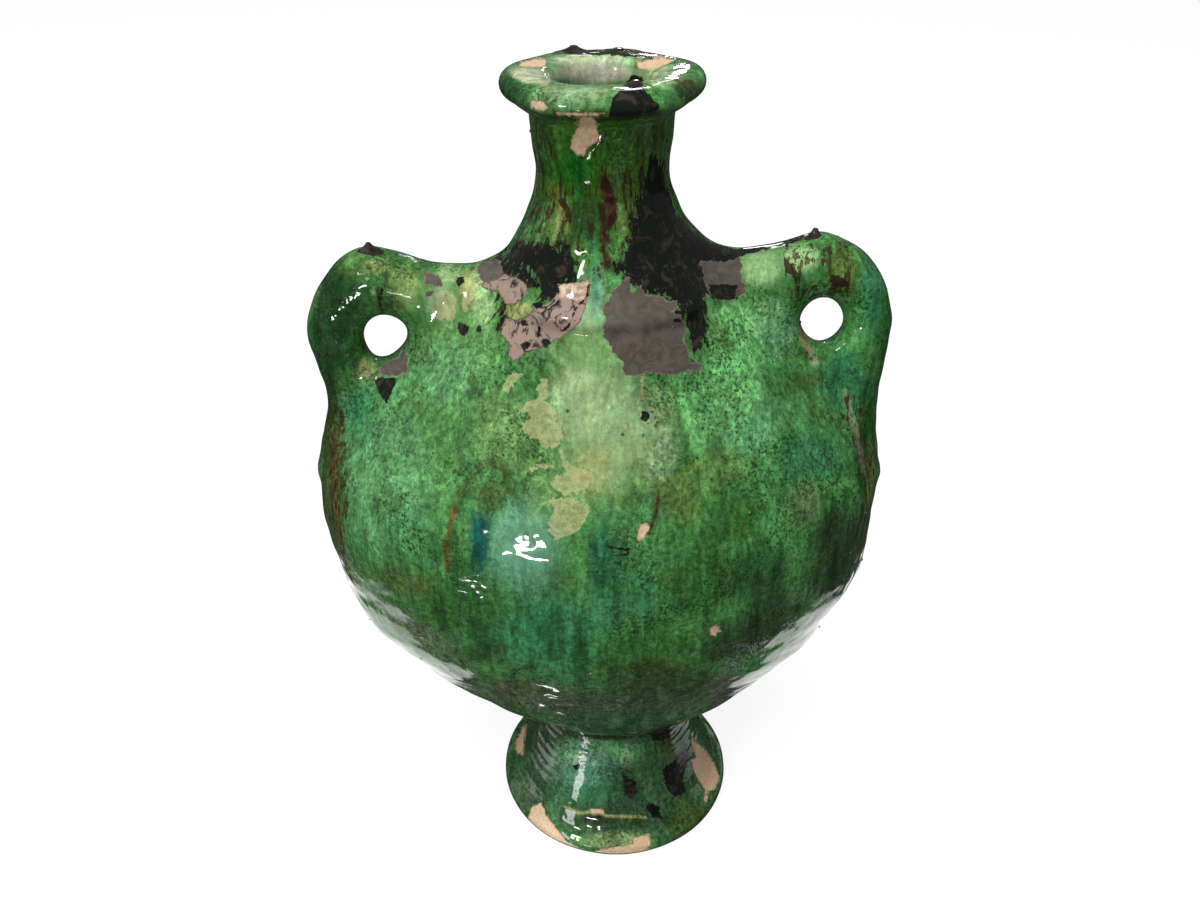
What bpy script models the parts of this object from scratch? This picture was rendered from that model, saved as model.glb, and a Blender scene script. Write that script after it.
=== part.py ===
"""Green-glazed flask with a flattened body, a flared foot, a rolled lip and two pierced lugs.

It is made as a potter lutes it together: two bowls meet edge to edge as the body, and the foot, the neck,
the lip and the lugs are separate pieces of clay set on them. Sizes are in metres and +Z is up. The flask
stands on z = 0 with its front bowl facing -Y, and the body's axis is the Z axis.
"""

import math

import bmesh
import bpy
from mathutils import Vector

# Joints: the film of slip between two pieces of clay
SLIP_GAP = 0.0003

# Foot: a flared ring, hollow underneath, that stands to the right of the body's axis
FOOT_HEIGHT = 0.0740
FOOT_SHIFT = 0.0075
FOOT_WALL = 0.0090
WAIST_RADIUS = 0.0414
COVE_PULL_DOWN = 0.0333
COVE_PULL_UP = 0.0100
BASE_RADIUS = 0.0639
BASE_HEIGHT = 0.0170
BASE_EDGE_HEIGHT = 0.0025
BASE_PULL = 0.0070
BASE_RING_WIDTH = 0.0120
LEDGE_RADIUS = 0.0530
LEDGE_WIDTH = 0.0015
HOLLOW_PULL_UP = 0.0155
HOLLOW_PULL_DOWN = 0.0370
COLLAR_THICKNESS = 0.0090
COLLAR_SETBACK = 0.0030

# Body: two bowls of even wall, with a belly, a haunch above the foot and a sloping shoulder
BODY_HALF_WIDTH = 0.1327
BODY_HALF_DEPTH = 0.0780
BODY_WALL = 0.0070
BELLY_RISE = 0.1240
SHOULDER_RISE = 0.1125
HAUNCH_RADIUS = 0.0455
HAUNCH_RISE = 0.0030
HAUNCH_SLOPE = math.radians(18)
HAUNCH_PULL = 0.0800
BELLY_PULL_DOWN = 0.0480
BELLY_PULL_UP = 0.0400
SHOULDER_SLOPE = math.radians(45)
SHOULDER_PULL = 0.0660
FLATTENED_ABOVE_FOOT = 0.0500
FLATTENED_BELOW_NECK = 0.0800
LEAN_HEIGHT = 0.0300

# Neck: a turned tube with a skirt that seats on the cone round the body's mouth, a little to the right
NECK_LENGTH = 0.0703
NECK_SHIFT = 0.0028
NECK_SHIFT_ABOVE = 0.0400
NECK_SHIFT_BELOW = 0.0450
NECK_BORE_RADIUS = 0.0195
NECK_RADIUS = 0.0270
NECK_TOP_RADIUS = 0.0290
NECK_THROAT_DEPTH = 0.0225
THROAT_PULL = 0.0090
SEAT_RADIUS = 0.0480
SEAT_SLOPE = math.radians(20)
SKIRT_EDGE = 0.0016
SKIRT_PULL_DOWN = 0.0135
SKIRT_PULL_UP = 0.0135
SKIRT_PULL_IN = 0.0084

# Lip: a thick roll with a broad top that rounds over into the mouth
RIM_RADIUS = 0.0405
RIM_HEIGHT = 0.0147
ROLL_HALF_WIDTH = 0.0085
ROLL_HALF_HEIGHT = 0.0059
ROLL_START = math.radians(92)
ROLL_END = math.radians(-75)
MOUTH_RADIUS = 0.0187
MOUTH_ROUNDING = 0.0070
MOUTH_PULL = 0.0040
BRIM_WIDTH = 0.0056
BRIM_DIP = 0.0006

# Lugs: thick ears on the shoulders, each pierced front to back, with a tail down the body's side
LUG_THICKNESS = 0.0260
LUG_ROUNDING = 0.0090
LUG_HOLE_INSET = 0.0367
LUG_HOLE_HALF_WIDTH = 0.0098
LUG_HOLE_HALF_HEIGHT = 0.0125
LUG_SIDE_CLAY = 0.0225
LUG_LEFT_TOP_CLAY = 0.0284
LUG_RIGHT_TOP_CLAY = 0.0271
LUG_LEFT_UNDER_CLAY = 0.0012
LUG_RIGHT_UNDER_CLAY = 0.0060
LUG_ROOT_INSET = 0.0130
LUG_LEFT_ROOT_RISE = 0.0038
LUG_RIGHT_ROOT_RISE = 0.0095
LUG_SADDLE_DIP = 0.0080
LUG_SADDLE_PULL_SHARE = 0.57
LUG_CREST_PULL = 0.0098
LUG_SIDE_PULL = 0.0270
LUG_TAIL_PULL_IN = 0.0036
LUG_TAIL_PULL_UP = 0.0170
LUG_TAIL_RISE = 0.0150
LUG_TAIL_INSET = 0.0022
LUG_BURIED = 0.0180
LUG_RIGHT_NARROWER = 0.0015

# Beads of glaze: pointed, and set on the lip and the lugs
BEAD_RADIUS = 0.0048
BEAD_SINK = 0.0030
BEAD_POINT_RADIUS = 0.0012
BEAD_POINT_DROP = 0.0003
LUG_BEAD_HEIGHT = 0.0042
RIM_BEAD_HEIGHT = 0.0034
RIM_BEADS = {
    "bead_rim_back_left": (math.radians(109), 0.0075),
    "bead_rim_back_right": (math.radians(77), 0.0075),
    "bead_rim_front_right": (math.radians(-59), 0.0165),
}
LUG_BEAD_INSET = {"left": -0.0014, "right": 0.0067}

# Facets, and how far cutters run past what they cut
MARGIN = 0.0100
TURN_STEPS = 48
CURVE_STEPS = 8
ARC_STEPS = 10
REST_STEPS = 16
BEAD_STEPS = 10

# Levels, worked out from the sizes above
UNDERSIDE = FOOT_HEIGHT + SLIP_GAP
BELLY_LEVEL = UNDERSIDE + BELLY_RISE
SEAT_LEVEL = BELLY_LEVEL + SHOULDER_RISE
NECK_TOP = SEAT_LEVEL + NECK_LENGTH
RIM_BASE = NECK_TOP + SLIP_GAP
RIM_TOP = RIM_BASE + RIM_HEIGHT


def clear_scene():
    for item in list(bpy.data.objects):
        bpy.data.objects.remove(item)


def new_collection(name):
    collection = bpy.data.collections.new(name)
    bpy.context.scene.collection.children.link(collection)
    return collection


def clay(name, colour, roughness):
    """A fired surface: a Principled BSDF with its colour and roughness."""
    material = bpy.data.materials.new(name)
    material.use_nodes = True
    shader = material.node_tree.nodes["Principled BSDF"]
    shader.inputs["Base Color"].default_value = (*colour, 1.0)
    shader.inputs["Roughness"].default_value = roughness
    shader.inputs["Metallic"].default_value = 0.0
    return material


def smoothstep(value):
    """0 to 1 with level ends, as the value goes from 0 to 1."""
    value = min(max(value, 0.0), 1.0)
    return value * value * (3.0 - 2.0 * value)


def bezier(start, start_pull, end_pull, end, steps):
    """Points of a cubic curve from start to end, without its first one."""
    points = []
    for step in range(1, steps + 1):
        t = step / steps
        weights = ((1 - t) ** 3, 3 * t * (1 - t) ** 2, 3 * t * t * (1 - t), t ** 3)
        corners = (start, start_pull, end_pull, end)
        points.append(tuple(sum(w * c[axis] for w, c in zip(weights, corners)) for axis in (0, 1)))
    return points


def arc(centre, half_width, half_height, start, end, steps):
    """Points of an elliptical arc between two angles, both ends included."""
    points = []
    for step in range(steps + 1):
        angle = start + (end - start) * step / steps
        across = centre[0] + half_width * math.cos(angle)
        up = centre[1] + half_height * math.sin(angle)
        points.append((across, up))
    return points


def flatness(height):
    """Depth as a share of width: round at the foot and the neck, and paddled flat between them."""
    flat = BODY_HALF_DEPTH / BODY_HALF_WIDTH
    above_foot = min(max((height - UNDERSIDE - HAUNCH_RISE) / FLATTENED_ABOVE_FOOT, 0.0), 1.0)
    below_neck = min(max((SEAT_LEVEL - height) / FLATTENED_BELOW_NECK, 0.0), 1.0)
    roundness = max((1.0 - above_foot) ** 3, (1.0 - below_neck) ** 3)
    return flat + (1.0 - flat) * roundness


def lean(height):
    """How far the shape stands to the right at a height: over the foot, and where the neck is seated."""
    foot = FOOT_SHIFT * (1.0 - smoothstep((height - UNDERSIDE - HAUNCH_RISE) / LEAN_HEIGHT))
    fade = NECK_SHIFT_ABOVE if height > SEAT_LEVEL else NECK_SHIFT_BELOW
    return foot + NECK_SHIFT * (1.0 - smoothstep(abs(height - SEAT_LEVEL) / fade))


def shape_by_hand(mesh):
    """Paddle a turned mesh flat between foot and neck, and lean it over to both."""
    for vertex in mesh.vertices:
        across, deep, height = vertex.co
        vertex.co = (across + lean(height), deep * flatness(height), height)


def link(name, mesh, collection):
    piece = bpy.data.objects.new(name, mesh)
    collection.objects.link(piece)
    return piece


def settle(piece):
    """Turn an object's modifiers or curve into a plain welded mesh that stays at the origin."""
    bpy.context.view_layer.update()
    evaluated = piece.evaluated_get(bpy.context.evaluated_depsgraph_get())
    mesh = bpy.data.meshes.new_from_object(evaluated)
    mesh.transform(piece.matrix_world)
    name = piece.name
    collection = piece.users_collection[0]
    bpy.data.objects.remove(piece)
    weld = bmesh.new()
    weld.from_mesh(mesh)
    bmesh.ops.remove_doubles(weld, verts=weld.verts, dist=0.000005)
    weld.to_mesh(mesh)
    weld.free()
    return link(name, mesh, collection)


def turn(name, profile, collection, closed=True, steps=TURN_STEPS):
    """Spin a profile of (radius, height), listed down its outer side from the top, round the Z axis."""
    points = [(radius, 0.0, height) for radius, height in profile]
    edges = [(index, index + 1) for index in range(len(points) - 1)]
    if closed:
        edges.append((len(points) - 1, 0))
    mesh = bpy.data.meshes.new(name)
    mesh.from_pydata(points, edges, [])
    piece = link(name, mesh, collection)
    spin = piece.modifiers.new("Spin", "SCREW")
    spin.axis = "Z"
    spin.angle = 2 * math.pi
    spin.steps = steps
    spin.render_steps = steps
    spin.use_merge_vertices = True
    spin.merge_threshold = 0.00002
    return settle(piece)


def boolean(piece, other, operation):
    """Cut or join with the EXACT solver, and settle the result."""
    change = piece.modifiers.new("Cut", "BOOLEAN")
    change.operation = operation
    change.solver = "EXACT"
    change.object = other
    return settle(piece)


def grown(piece, collection):
    """A cutter that stands one slip gap proud of a piece all round."""
    mesh = piece.data.copy()
    places = [vertex.co + vertex.normal * SLIP_GAP for vertex in mesh.vertices]
    for vertex, place in zip(mesh.vertices, places):
        vertex.co = place
    cutter = link(piece.name + "_cutter", mesh, collection)
    cutter.hide_render = True
    cutter.display_type = "WIRE"
    return cutter


def body_outline():
    """The body's outer profile, from its mouth over shoulder, belly and haunch to under its middle."""
    seat = (SEAT_RADIUS, SEAT_LEVEL)
    belly = (BODY_HALF_WIDTH, BELLY_LEVEL)
    haunch = (HAUNCH_RADIUS, UNDERSIDE + HAUNCH_RISE)
    shoulder_pull = (
        seat[0] + SHOULDER_PULL * math.cos(SHOULDER_SLOPE),
        seat[1] - SHOULDER_PULL * math.sin(SHOULDER_SLOPE),
    )
    haunch_pull = (
        haunch[0] + HAUNCH_PULL * math.cos(HAUNCH_SLOPE),
        haunch[1] + HAUNCH_PULL * math.sin(HAUNCH_SLOPE),
    )
    belly_up = (belly[0], belly[1] + BELLY_PULL_UP)
    belly_down = (belly[0], belly[1] - BELLY_PULL_DOWN)
    underside_edge = (HAUNCH_RADIUS - HAUNCH_RISE, UNDERSIDE)
    outline = [seat]
    outline += bezier(seat, shoulder_pull, belly_up, belly, CURVE_STEPS)
    outline += bezier(belly, belly_down, haunch_pull, haunch, CURVE_STEPS)
    outline += [underside_edge, (0.0, UNDERSIDE)]
    return outline


def seat_height(radius):
    """Height of the cone round the body's mouth, on which the neck seats."""
    return SEAT_LEVEL + (SEAT_RADIUS - radius) * math.tan(SEAT_SLOPE)


def make_body(parts, cutters):
    """The hollow body, cut down its rim plane into the front and back bowls."""
    mouth_radius = NECK_BORE_RADIUS + BODY_WALL * math.sin(SEAT_SLOPE)
    outline = [(mouth_radius, seat_height(mouth_radius))] + body_outline()
    shell = turn("body", outline, cutters, closed=False)
    shape_by_hand(shell.data)
    wall = shell.modifiers.new("Wall", "SOLIDIFY")
    wall.thickness = BODY_WALL
    wall.offset = -1.0
    wall.use_even_offset = True
    shell = settle(shell)
    for name, side in (("body_front", -1), ("body_back", 1)):
        bowl = link(name, shell.data.copy(), parts)
        half = half_space(side, cutters)
        boolean(bowl, half, "INTERSECT")
        bpy.data.objects.remove(half)
    bpy.data.objects.remove(shell)


def half_space(side, cutters):
    """A block that holds all of the body on one side of the rim plane, less half the slip gap."""
    width = 2 * (BODY_HALF_WIDTH + FOOT_SHIFT + MARGIN)
    depth = BODY_HALF_DEPTH + HAUNCH_RADIUS + MARGIN
    height = NECK_TOP - UNDERSIDE + 2 * MARGIN
    mesh = bpy.data.meshes.new("half_space")
    block = bmesh.new()
    bmesh.ops.create_cube(block, size=1.0)
    bmesh.ops.scale(block, verts=block.verts, vec=(width, depth, height))
    middle = Vector((0.0, side * (depth + SLIP_GAP) / 2, (NECK_TOP + UNDERSIDE) / 2))
    bmesh.ops.translate(block, verts=block.verts, vec=middle)
    block.to_mesh(mesh)
    block.free()
    half = link("half_space", mesh, cutters)
    half.hide_render = True
    half.display_type = "WIRE"
    return half


def make_foot(parts):
    """The flared foot: a cove under the waist, a ledge and a rounded base ring, hollow inside."""
    waist = (WAIST_RADIUS, FOOT_HEIGHT)
    waist_pull = (WAIST_RADIUS, FOOT_HEIGHT - COVE_PULL_DOWN)
    cove_end = (LEDGE_RADIUS, BASE_HEIGHT)
    cove_pull = (LEDGE_RADIUS - LEDGE_WIDTH, BASE_HEIGHT + COVE_PULL_UP)
    shelf = (LEDGE_RADIUS + LEDGE_WIDTH, BASE_HEIGHT - LEDGE_WIDTH)
    shelf_pull = (shelf[0], shelf[1] - BASE_PULL)
    base_edge = (BASE_RADIUS, BASE_EDGE_HEIGHT)
    base_pull = (BASE_RADIUS, BASE_EDGE_HEIGHT + BASE_PULL)
    ring_edge = (BASE_RADIUS - BASE_RING_WIDTH, 0.0)
    hollow_start = (ring_edge[0] - LEDGE_WIDTH, LEDGE_WIDTH)
    hollow_start_pull = (hollow_start[0], LEDGE_WIDTH + HOLLOW_PULL_UP)
    hollow_end = (WAIST_RADIUS - FOOT_WALL, FOOT_HEIGHT)
    hollow_end_pull = (hollow_end[0], FOOT_HEIGHT - HOLLOW_PULL_DOWN)
    profile = [waist]
    profile += bezier(waist, waist_pull, cove_pull, cove_end, CURVE_STEPS)
    profile += [shelf]
    profile += bezier(shelf, shelf_pull, base_pull, base_edge, CURVE_STEPS - 2)
    profile += [(BASE_RADIUS - LEDGE_WIDTH, 0.0), ring_edge, hollow_start]
    profile += bezier(hollow_start, hollow_start_pull, hollow_end_pull, hollow_end, CURVE_STEPS - 2)
    foot = turn("foot", profile, parts)
    shape_by_hand(foot.data)
    return foot


def make_collar(parts, cutters, core, foot):
    """The roll of clay that was pressed into the joint between foot and body."""
    thick = COLLAR_THICKNESS / 2
    middle = (WAIST_RADIUS + thick - COLLAR_SETBACK, FOOT_HEIGHT)
    roll = arc(middle, thick, thick, math.pi / 2, -3 * math.pi / 2, ARC_STEPS)
    collar = turn("foot_collar", roll[:-1], parts)
    shape_by_hand(collar.data)
    for neighbour in (core, grown(foot, cutters)):
        collar = boolean(collar, neighbour, "DIFFERENCE")


def neck_outline():
    """The neck's outer profile, from under the lip down to the edge of its skirt."""
    top = (NECK_TOP_RADIUS, NECK_TOP)
    top_pull = (NECK_TOP_RADIUS, NECK_TOP - THROAT_PULL)
    throat = (NECK_RADIUS, NECK_TOP - NECK_THROAT_DEPTH)
    throat_pull_up = (NECK_RADIUS, throat[1] + THROAT_PULL)
    throat_pull_down = (NECK_RADIUS, throat[1] - SKIRT_PULL_DOWN)
    skirt = (SEAT_RADIUS, SEAT_LEVEL + SLIP_GAP + SKIRT_EDGE)
    skirt_pull = (SEAT_RADIUS - SKIRT_PULL_IN, skirt[1] + SKIRT_PULL_UP)
    outline = [top]
    outline += bezier(top, top_pull, throat_pull_up, throat, CURVE_STEPS // 2)
    outline += bezier(throat, throat_pull_down, skirt_pull, skirt, CURVE_STEPS)
    return outline


def make_neck(parts):
    """The neck: its skirt lies on the cone round the body's mouth, one slip gap above it."""
    slip = SLIP_GAP / math.cos(SEAT_SLOPE)
    profile = neck_outline()
    profile += [
        (SEAT_RADIUS, SEAT_LEVEL + slip),
        (NECK_BORE_RADIUS, seat_height(NECK_BORE_RADIUS) + slip),
        (NECK_BORE_RADIUS, NECK_TOP),
    ]
    neck = turn("neck", profile, parts)
    shape_by_hand(neck.data)


def rim_section():
    """The lip's section: a fat roll outside, a flat seat below and a top that rounds into the mouth."""
    middle = (RIM_RADIUS - ROLL_HALF_WIDTH, RIM_TOP - ROLL_HALF_HEIGHT)
    throat = (MOUTH_RADIUS, RIM_TOP - MOUTH_ROUNDING)
    throat_pull = (MOUTH_RADIUS, throat[1] + MOUTH_PULL)
    brim = (MOUTH_RADIUS + BRIM_WIDTH, RIM_TOP - BRIM_DIP)
    brim_pull = (brim[0] - MOUTH_PULL, brim[1])
    section = arc(middle, ROLL_HALF_WIDTH, ROLL_HALF_HEIGHT, ROLL_START, ROLL_END, ARC_STEPS)
    section += [(NECK_TOP_RADIUS, RIM_BASE), (MOUTH_RADIUS, RIM_BASE), throat]
    section += bezier(throat, throat_pull, brim_pull, brim, CURVE_STEPS // 2)
    return section


def make_rim(parts):
    rim = turn("rim", rim_section(), parts)
    shape_by_hand(rim.data)
    return rim


def make_core(cutters):
    """Body and neck as one solid, one slip gap proud, for cutting what is luted onto them."""
    outline = [(0.0, NECK_TOP)] + neck_outline() + body_outline()
    core = turn("core", outline, cutters, closed=False)
    shape_by_hand(core.data)
    cutter = grown(core, cutters)
    bpy.data.objects.remove(core)
    return cutter


def rest_height(across, side, half_width, half_height):
    """Height at which an upright ellipse would come to rest on the shoulder, at a distance from the axis."""
    outline = neck_outline() + body_outline()
    rest = 0.0
    for upper, lower in zip(outline, outline[1:]):
        for step in range(REST_STEPS):
            t = step / REST_STEPS
            height = upper[1] + (lower[1] - upper[1]) * t
            radius = upper[0] + (lower[0] - upper[0]) * t + side * lean(height)
            offset = (across - radius) / half_width
            if abs(offset) < 1.0:
                rest = max(rest, height + half_height * math.sqrt(1.0 - offset * offset))
    return rest


def lug_outline(hole, top, reach, root_rise):
    """The ear's outline, out from inside the neck, over the ear and down its tail into the belly."""
    neck_root = (SEAT_RADIUS - LUG_ROOT_INSET, SEAT_LEVEL + root_rise)
    saddle_reach = (hole[0] - neck_root[0]) * LUG_SADDLE_PULL_SHARE
    saddle_pull = (neck_root[0] + saddle_reach, neck_root[1] - LUG_SADDLE_DIP)
    crest = (hole[0], top)
    crest_pull = (hole[0] - LUG_CREST_PULL, top)
    side = (reach, hole[1])
    side_pull = (reach, hole[1] - LUG_SIDE_PULL)
    tail = (BODY_HALF_WIDTH - LUG_TAIL_INSET, BELLY_LEVEL + LUG_TAIL_RISE)
    tail_pull = (reach - LUG_TAIL_PULL_IN, tail[1] + LUG_TAIL_PULL_UP)
    buried = tail[1] - LUG_BURIED
    outline = [neck_root]
    outline += bezier(neck_root, saddle_pull, crest_pull, crest, CURVE_STEPS)
    outline += arc(hole, reach - hole[0], top - hole[1], math.pi / 2, 0.0, CURVE_STEPS)[1:]
    outline += bezier(side, side_pull, tail_pull, tail, CURVE_STEPS // 2)
    outline += [(tail[0] - LUG_BURIED, buried), (neck_root[0], buried)]
    return outline


def spline(curve, points):
    line = curve.splines.new("POLY")
    line.points.add(len(points) - 1)
    for point, (across, up) in zip(line.points, points):
        point.co = (across, up, 0.0, 1.0)
    line.use_cyclic_u = True


def make_lug(name, side, under_clay, top_clay, root_rise, narrower, parts, cutters, core):
    """A thick ear with rounded edges and a flared hole, trimmed to the shoulder and neck it sits on."""
    across = BODY_HALF_WIDTH - LUG_HOLE_INSET
    clear_width = LUG_HOLE_HALF_WIDTH + under_clay
    clear_height = LUG_HOLE_HALF_HEIGHT + under_clay
    hole = (across, rest_height(across, side, clear_width, clear_height))
    reach = hole[0] + LUG_HOLE_HALF_WIDTH + LUG_SIDE_CLAY - narrower
    top = hole[1] + LUG_HOLE_HALF_HEIGHT + top_clay
    curve = bpy.data.curves.new(name, "CURVE")
    curve.dimensions = "2D"
    curve.fill_mode = "BOTH"
    curve.extrude = LUG_THICKNESS / 2 - LUG_ROUNDING
    curve.bevel_depth = LUG_ROUNDING
    curve.bevel_resolution = 2
    curve.offset = -LUG_ROUNDING
    spline(curve, lug_outline(hole, top, reach, root_rise))
    spline(curve, arc(hole, LUG_HOLE_HALF_WIDTH, LUG_HOLE_HALF_HEIGHT, 0.0, 2 * math.pi, 2 * ARC_STEPS)[:-1])
    ear = link(name, curve, parts)
    ear.rotation_euler = (math.pi / 2, 0.0, 0.0)
    ear = settle(ear)
    if side < 0:
        mirror(ear.data)
    ear_cutter = grown(ear, cutters)
    boolean(ear, core, "DIFFERENCE")
    return ear_cutter, top


def mirror(mesh):
    """Swap a mesh left for right, and turn its faces back out."""
    for vertex in mesh.vertices:
        vertex.co.x = -vertex.co.x
    mesh.flip_normals()


def make_bead(name, place, height, parts, seat):
    """A pointed bead of glaze that stands on the lip or on a lug."""
    tip = place[2] + height
    shoulder = (BEAD_POINT_RADIUS, tip - BEAD_POINT_DROP)
    shoulder_pull = (2 * BEAD_POINT_RADIUS, tip - height / 2)
    edge_pull = (BEAD_RADIUS, place[2])
    foot = (BEAD_RADIUS, place[2] - BEAD_SINK)
    profile = [(0.0, tip), shoulder]
    profile += bezier(shoulder, shoulder_pull, edge_pull, foot, CURVE_STEPS // 2)
    profile += [(0.0, foot[1])]
    bead = turn(name, profile, parts, closed=False, steps=BEAD_STEPS)
    for vertex in bead.data.vertices:
        vertex.co.x += place[0]
        vertex.co.y += place[1]
    boolean(bead, seat, "DIFFERENCE")


def finish(parts):
    """Smooth shading with sharp edges kept, and each piece's own finish."""
    glaze = {
        "body_front": (0.060, 0.230, 0.090),
        "body_back": (0.050, 0.200, 0.080),
        "foot": (0.040, 0.160, 0.075),
        "foot_collar": (0.035, 0.120, 0.060),
        "neck": (0.050, 0.170, 0.050),
        "rim": (0.110, 0.300, 0.110),
        "lug_left": (0.045, 0.170, 0.070),
        "lug_right": (0.080, 0.280, 0.110),
    }
    bead_glaze = (0.020, 0.016, 0.014)
    for piece in parts.objects:
        piece.data.shade_smooth()
        piece.data.set_sharp_from_angle(angle=math.radians(50))
        piece.data.materials.clear()
        piece.data.materials.append(clay(piece.name + "_glaze", glaze.get(piece.name, bead_glaze), 0.15))


def main():
    clear_scene()
    parts = new_collection("flask")
    cutters = new_collection("cutters")
    core = make_core(cutters)
    make_body(parts, cutters)
    foot = make_foot(parts)
    make_collar(parts, cutters, core, foot)
    make_neck(parts)
    rim = make_rim(parts)
    rim_cutter = grown(rim, cutters)
    for name, (angle, inset) in RIM_BEADS.items():
        ring = RIM_RADIUS - inset
        place = (ring * math.cos(angle), ring * math.sin(angle), RIM_TOP)
        make_bead(name, place, RIM_BEAD_HEIGHT, parts, rim_cutter)
    lugs = {
        "left": (-1, LUG_LEFT_UNDER_CLAY, LUG_LEFT_TOP_CLAY, LUG_LEFT_ROOT_RISE, 0.0),
        "right": (1, LUG_RIGHT_UNDER_CLAY, LUG_RIGHT_TOP_CLAY, LUG_RIGHT_ROOT_RISE, LUG_RIGHT_NARROWER),
    }
    for side_name, (side, *sizes) in lugs.items():
        seat, top = make_lug("lug_" + side_name, side, *sizes, parts, cutters, core)
        across = side * (BODY_HALF_WIDTH - LUG_HOLE_INSET - LUG_BEAD_INSET[side_name])
        make_bead("bead_lug_" + side_name, (across, 0.0, top), LUG_BEAD_HEIGHT, parts, seat)
    finish(parts)


if __name__ == "__main__":
    main()
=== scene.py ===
"""Looks of the green-glazed flask: its glazed skin, foot, beads, bubbles, and the stage it stands on.

The flask is one pot, so its clay runs from piece to piece without a joint. The skin is therefore shaped as
a whole from the flask's own rules, then cut into the pieces that the potter luted together. Sizes are in
metres and +Z is up. A place on the front is given by its pixel in the photograph, which is 1200 x 900.
"""

import math

import bmesh
import bpy
import numpy as np
from bpy.props import FloatProperty, FloatVectorProperty, IntProperty, PointerProperty
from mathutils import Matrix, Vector
from mathutils.bvhtree import BVHTree


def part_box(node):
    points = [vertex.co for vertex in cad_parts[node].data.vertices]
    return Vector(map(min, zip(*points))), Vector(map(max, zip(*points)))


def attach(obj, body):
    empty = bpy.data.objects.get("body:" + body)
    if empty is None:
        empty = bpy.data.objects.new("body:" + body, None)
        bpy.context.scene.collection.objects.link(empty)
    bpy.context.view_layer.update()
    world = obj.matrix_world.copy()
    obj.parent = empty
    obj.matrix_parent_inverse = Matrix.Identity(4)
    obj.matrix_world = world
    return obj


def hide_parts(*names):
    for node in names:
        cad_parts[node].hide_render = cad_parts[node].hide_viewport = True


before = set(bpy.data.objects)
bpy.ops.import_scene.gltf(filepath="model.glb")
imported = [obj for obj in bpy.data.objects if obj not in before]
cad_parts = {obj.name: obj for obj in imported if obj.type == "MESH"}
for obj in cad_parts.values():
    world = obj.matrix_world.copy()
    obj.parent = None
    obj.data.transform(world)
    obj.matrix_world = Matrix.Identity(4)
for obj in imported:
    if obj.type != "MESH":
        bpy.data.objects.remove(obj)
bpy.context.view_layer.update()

bl_info = {
    "name": "Green-glazed flask",
    "version": (1, 0, 0),
    "blender": (4, 5, 0),
    "location": "View3D > Sidebar > Flask",
    "description": "Makes a glazed two-lugged flask and its stage",
    "category": "Object",
}

# Levels and radii that the frame gives
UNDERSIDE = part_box("body_front")[0].z
FOOT_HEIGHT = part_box("foot")[1].z
FOOT_SHIFT = (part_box("foot")[0].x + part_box("foot")[1].x) / 2
BASE_RADIUS = (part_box("foot")[1].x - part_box("foot")[0].x) / 2
BODY_HALF_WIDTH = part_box("body_front")[1].x
BODY_HALF_DEPTH = -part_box("body_front")[0].y
SEAT_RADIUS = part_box("neck")[1].y
NECK_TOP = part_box("neck")[1].z
RIM_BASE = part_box("rim")[0].z
RIM_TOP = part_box("rim")[1].z
RIM_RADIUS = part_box("rim")[1].x
LUG_HALF_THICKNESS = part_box("lug_left")[1].y

# Body outline
BELLY_LEVEL = UNDERSIDE + 0.1240
SEAT_LEVEL = BELLY_LEVEL + 0.1125
HAUNCH_RADIUS = 0.0455
HAUNCH_RISE = 0.0030
HAUNCH_SLOPE = math.radians(18)
HAUNCH_PULL = 0.0800
BELLY_PULL_DOWN = 0.0480
BELLY_PULL_UP = 0.0400
SHOULDER_SLOPE = math.radians(45)
SHOULDER_PULL = 0.0660
FLATTENED_ABOVE_FOOT = 0.0500
FLATTENED_BELOW_NECK = 0.0800
LEAN_HEIGHT = 0.0300
BODY_WALL = 0.0070

# Widths of the fillets where pieces run into each other
NECK_BLEND = 0.0070
LIP_BLEND = 0.0016
COLLAR_BLEND = 0.0030
BORE_BLEND = 0.0020

# Neck and lip
NECK_SHIFT = 0.0028
NECK_SHIFT_ABOVE = 0.0400
NECK_SHIFT_BELOW = 0.0450
NECK_RADIUS = 0.0270
NECK_TOP_RADIUS = 0.0290
NECK_THROAT_DEPTH = 0.0225
THROAT_PULL = 0.0090
SEAT_SLOPE = math.radians(20)
SKIRT_EDGE = 0.0016
SKIRT_PULL_DOWN = 0.0135
SKIRT_PULL_UP = 0.0135
SKIRT_PULL_IN = 0.0084
BORE_RADIUS = 0.0190
BORE_FLOOR = SEAT_LEVEL + 0.0070
NECK_LET_IN = 0.0030
BORE_SHOULDER_DEPTH = 0.0040
MOUTH_RADIUS = 0.0187
MOUTH_ROUNDING = 0.0075
MOUTH_PULL = 0.0045
BRIM_RISE = 0.0004
ROLL_HALF_WIDTH = 0.0085
ROLL_HALF_HEIGHT = 0.0060
ROLL_START = 92
ROLL_END = -75

# Foot and collar
WAIST_RADIUS = 0.0414
COVE_LEVEL = 0.0407
COVE_PULL_UP = 0.0100
FOOT_WALL = 0.0090
BASE_HEIGHT = 0.0170
BASE_PULL = 0.0070
BASE_PULL_LEVEL = 0.0095
BASE_EDGE_LEVEL = 0.0025
BASE_RING_WIDTH = 0.0120
LEDGE_RADIUS = 0.0530
FOOT_ROUNDING = 0.0015
HOLLOW_PULL_UP = 0.0170
HOLLOW_PULL_DOWN = 0.0370
COLLAR_HALF_THICKNESS = 0.0045
COLLAR_SETBACK = 0.0030

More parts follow.
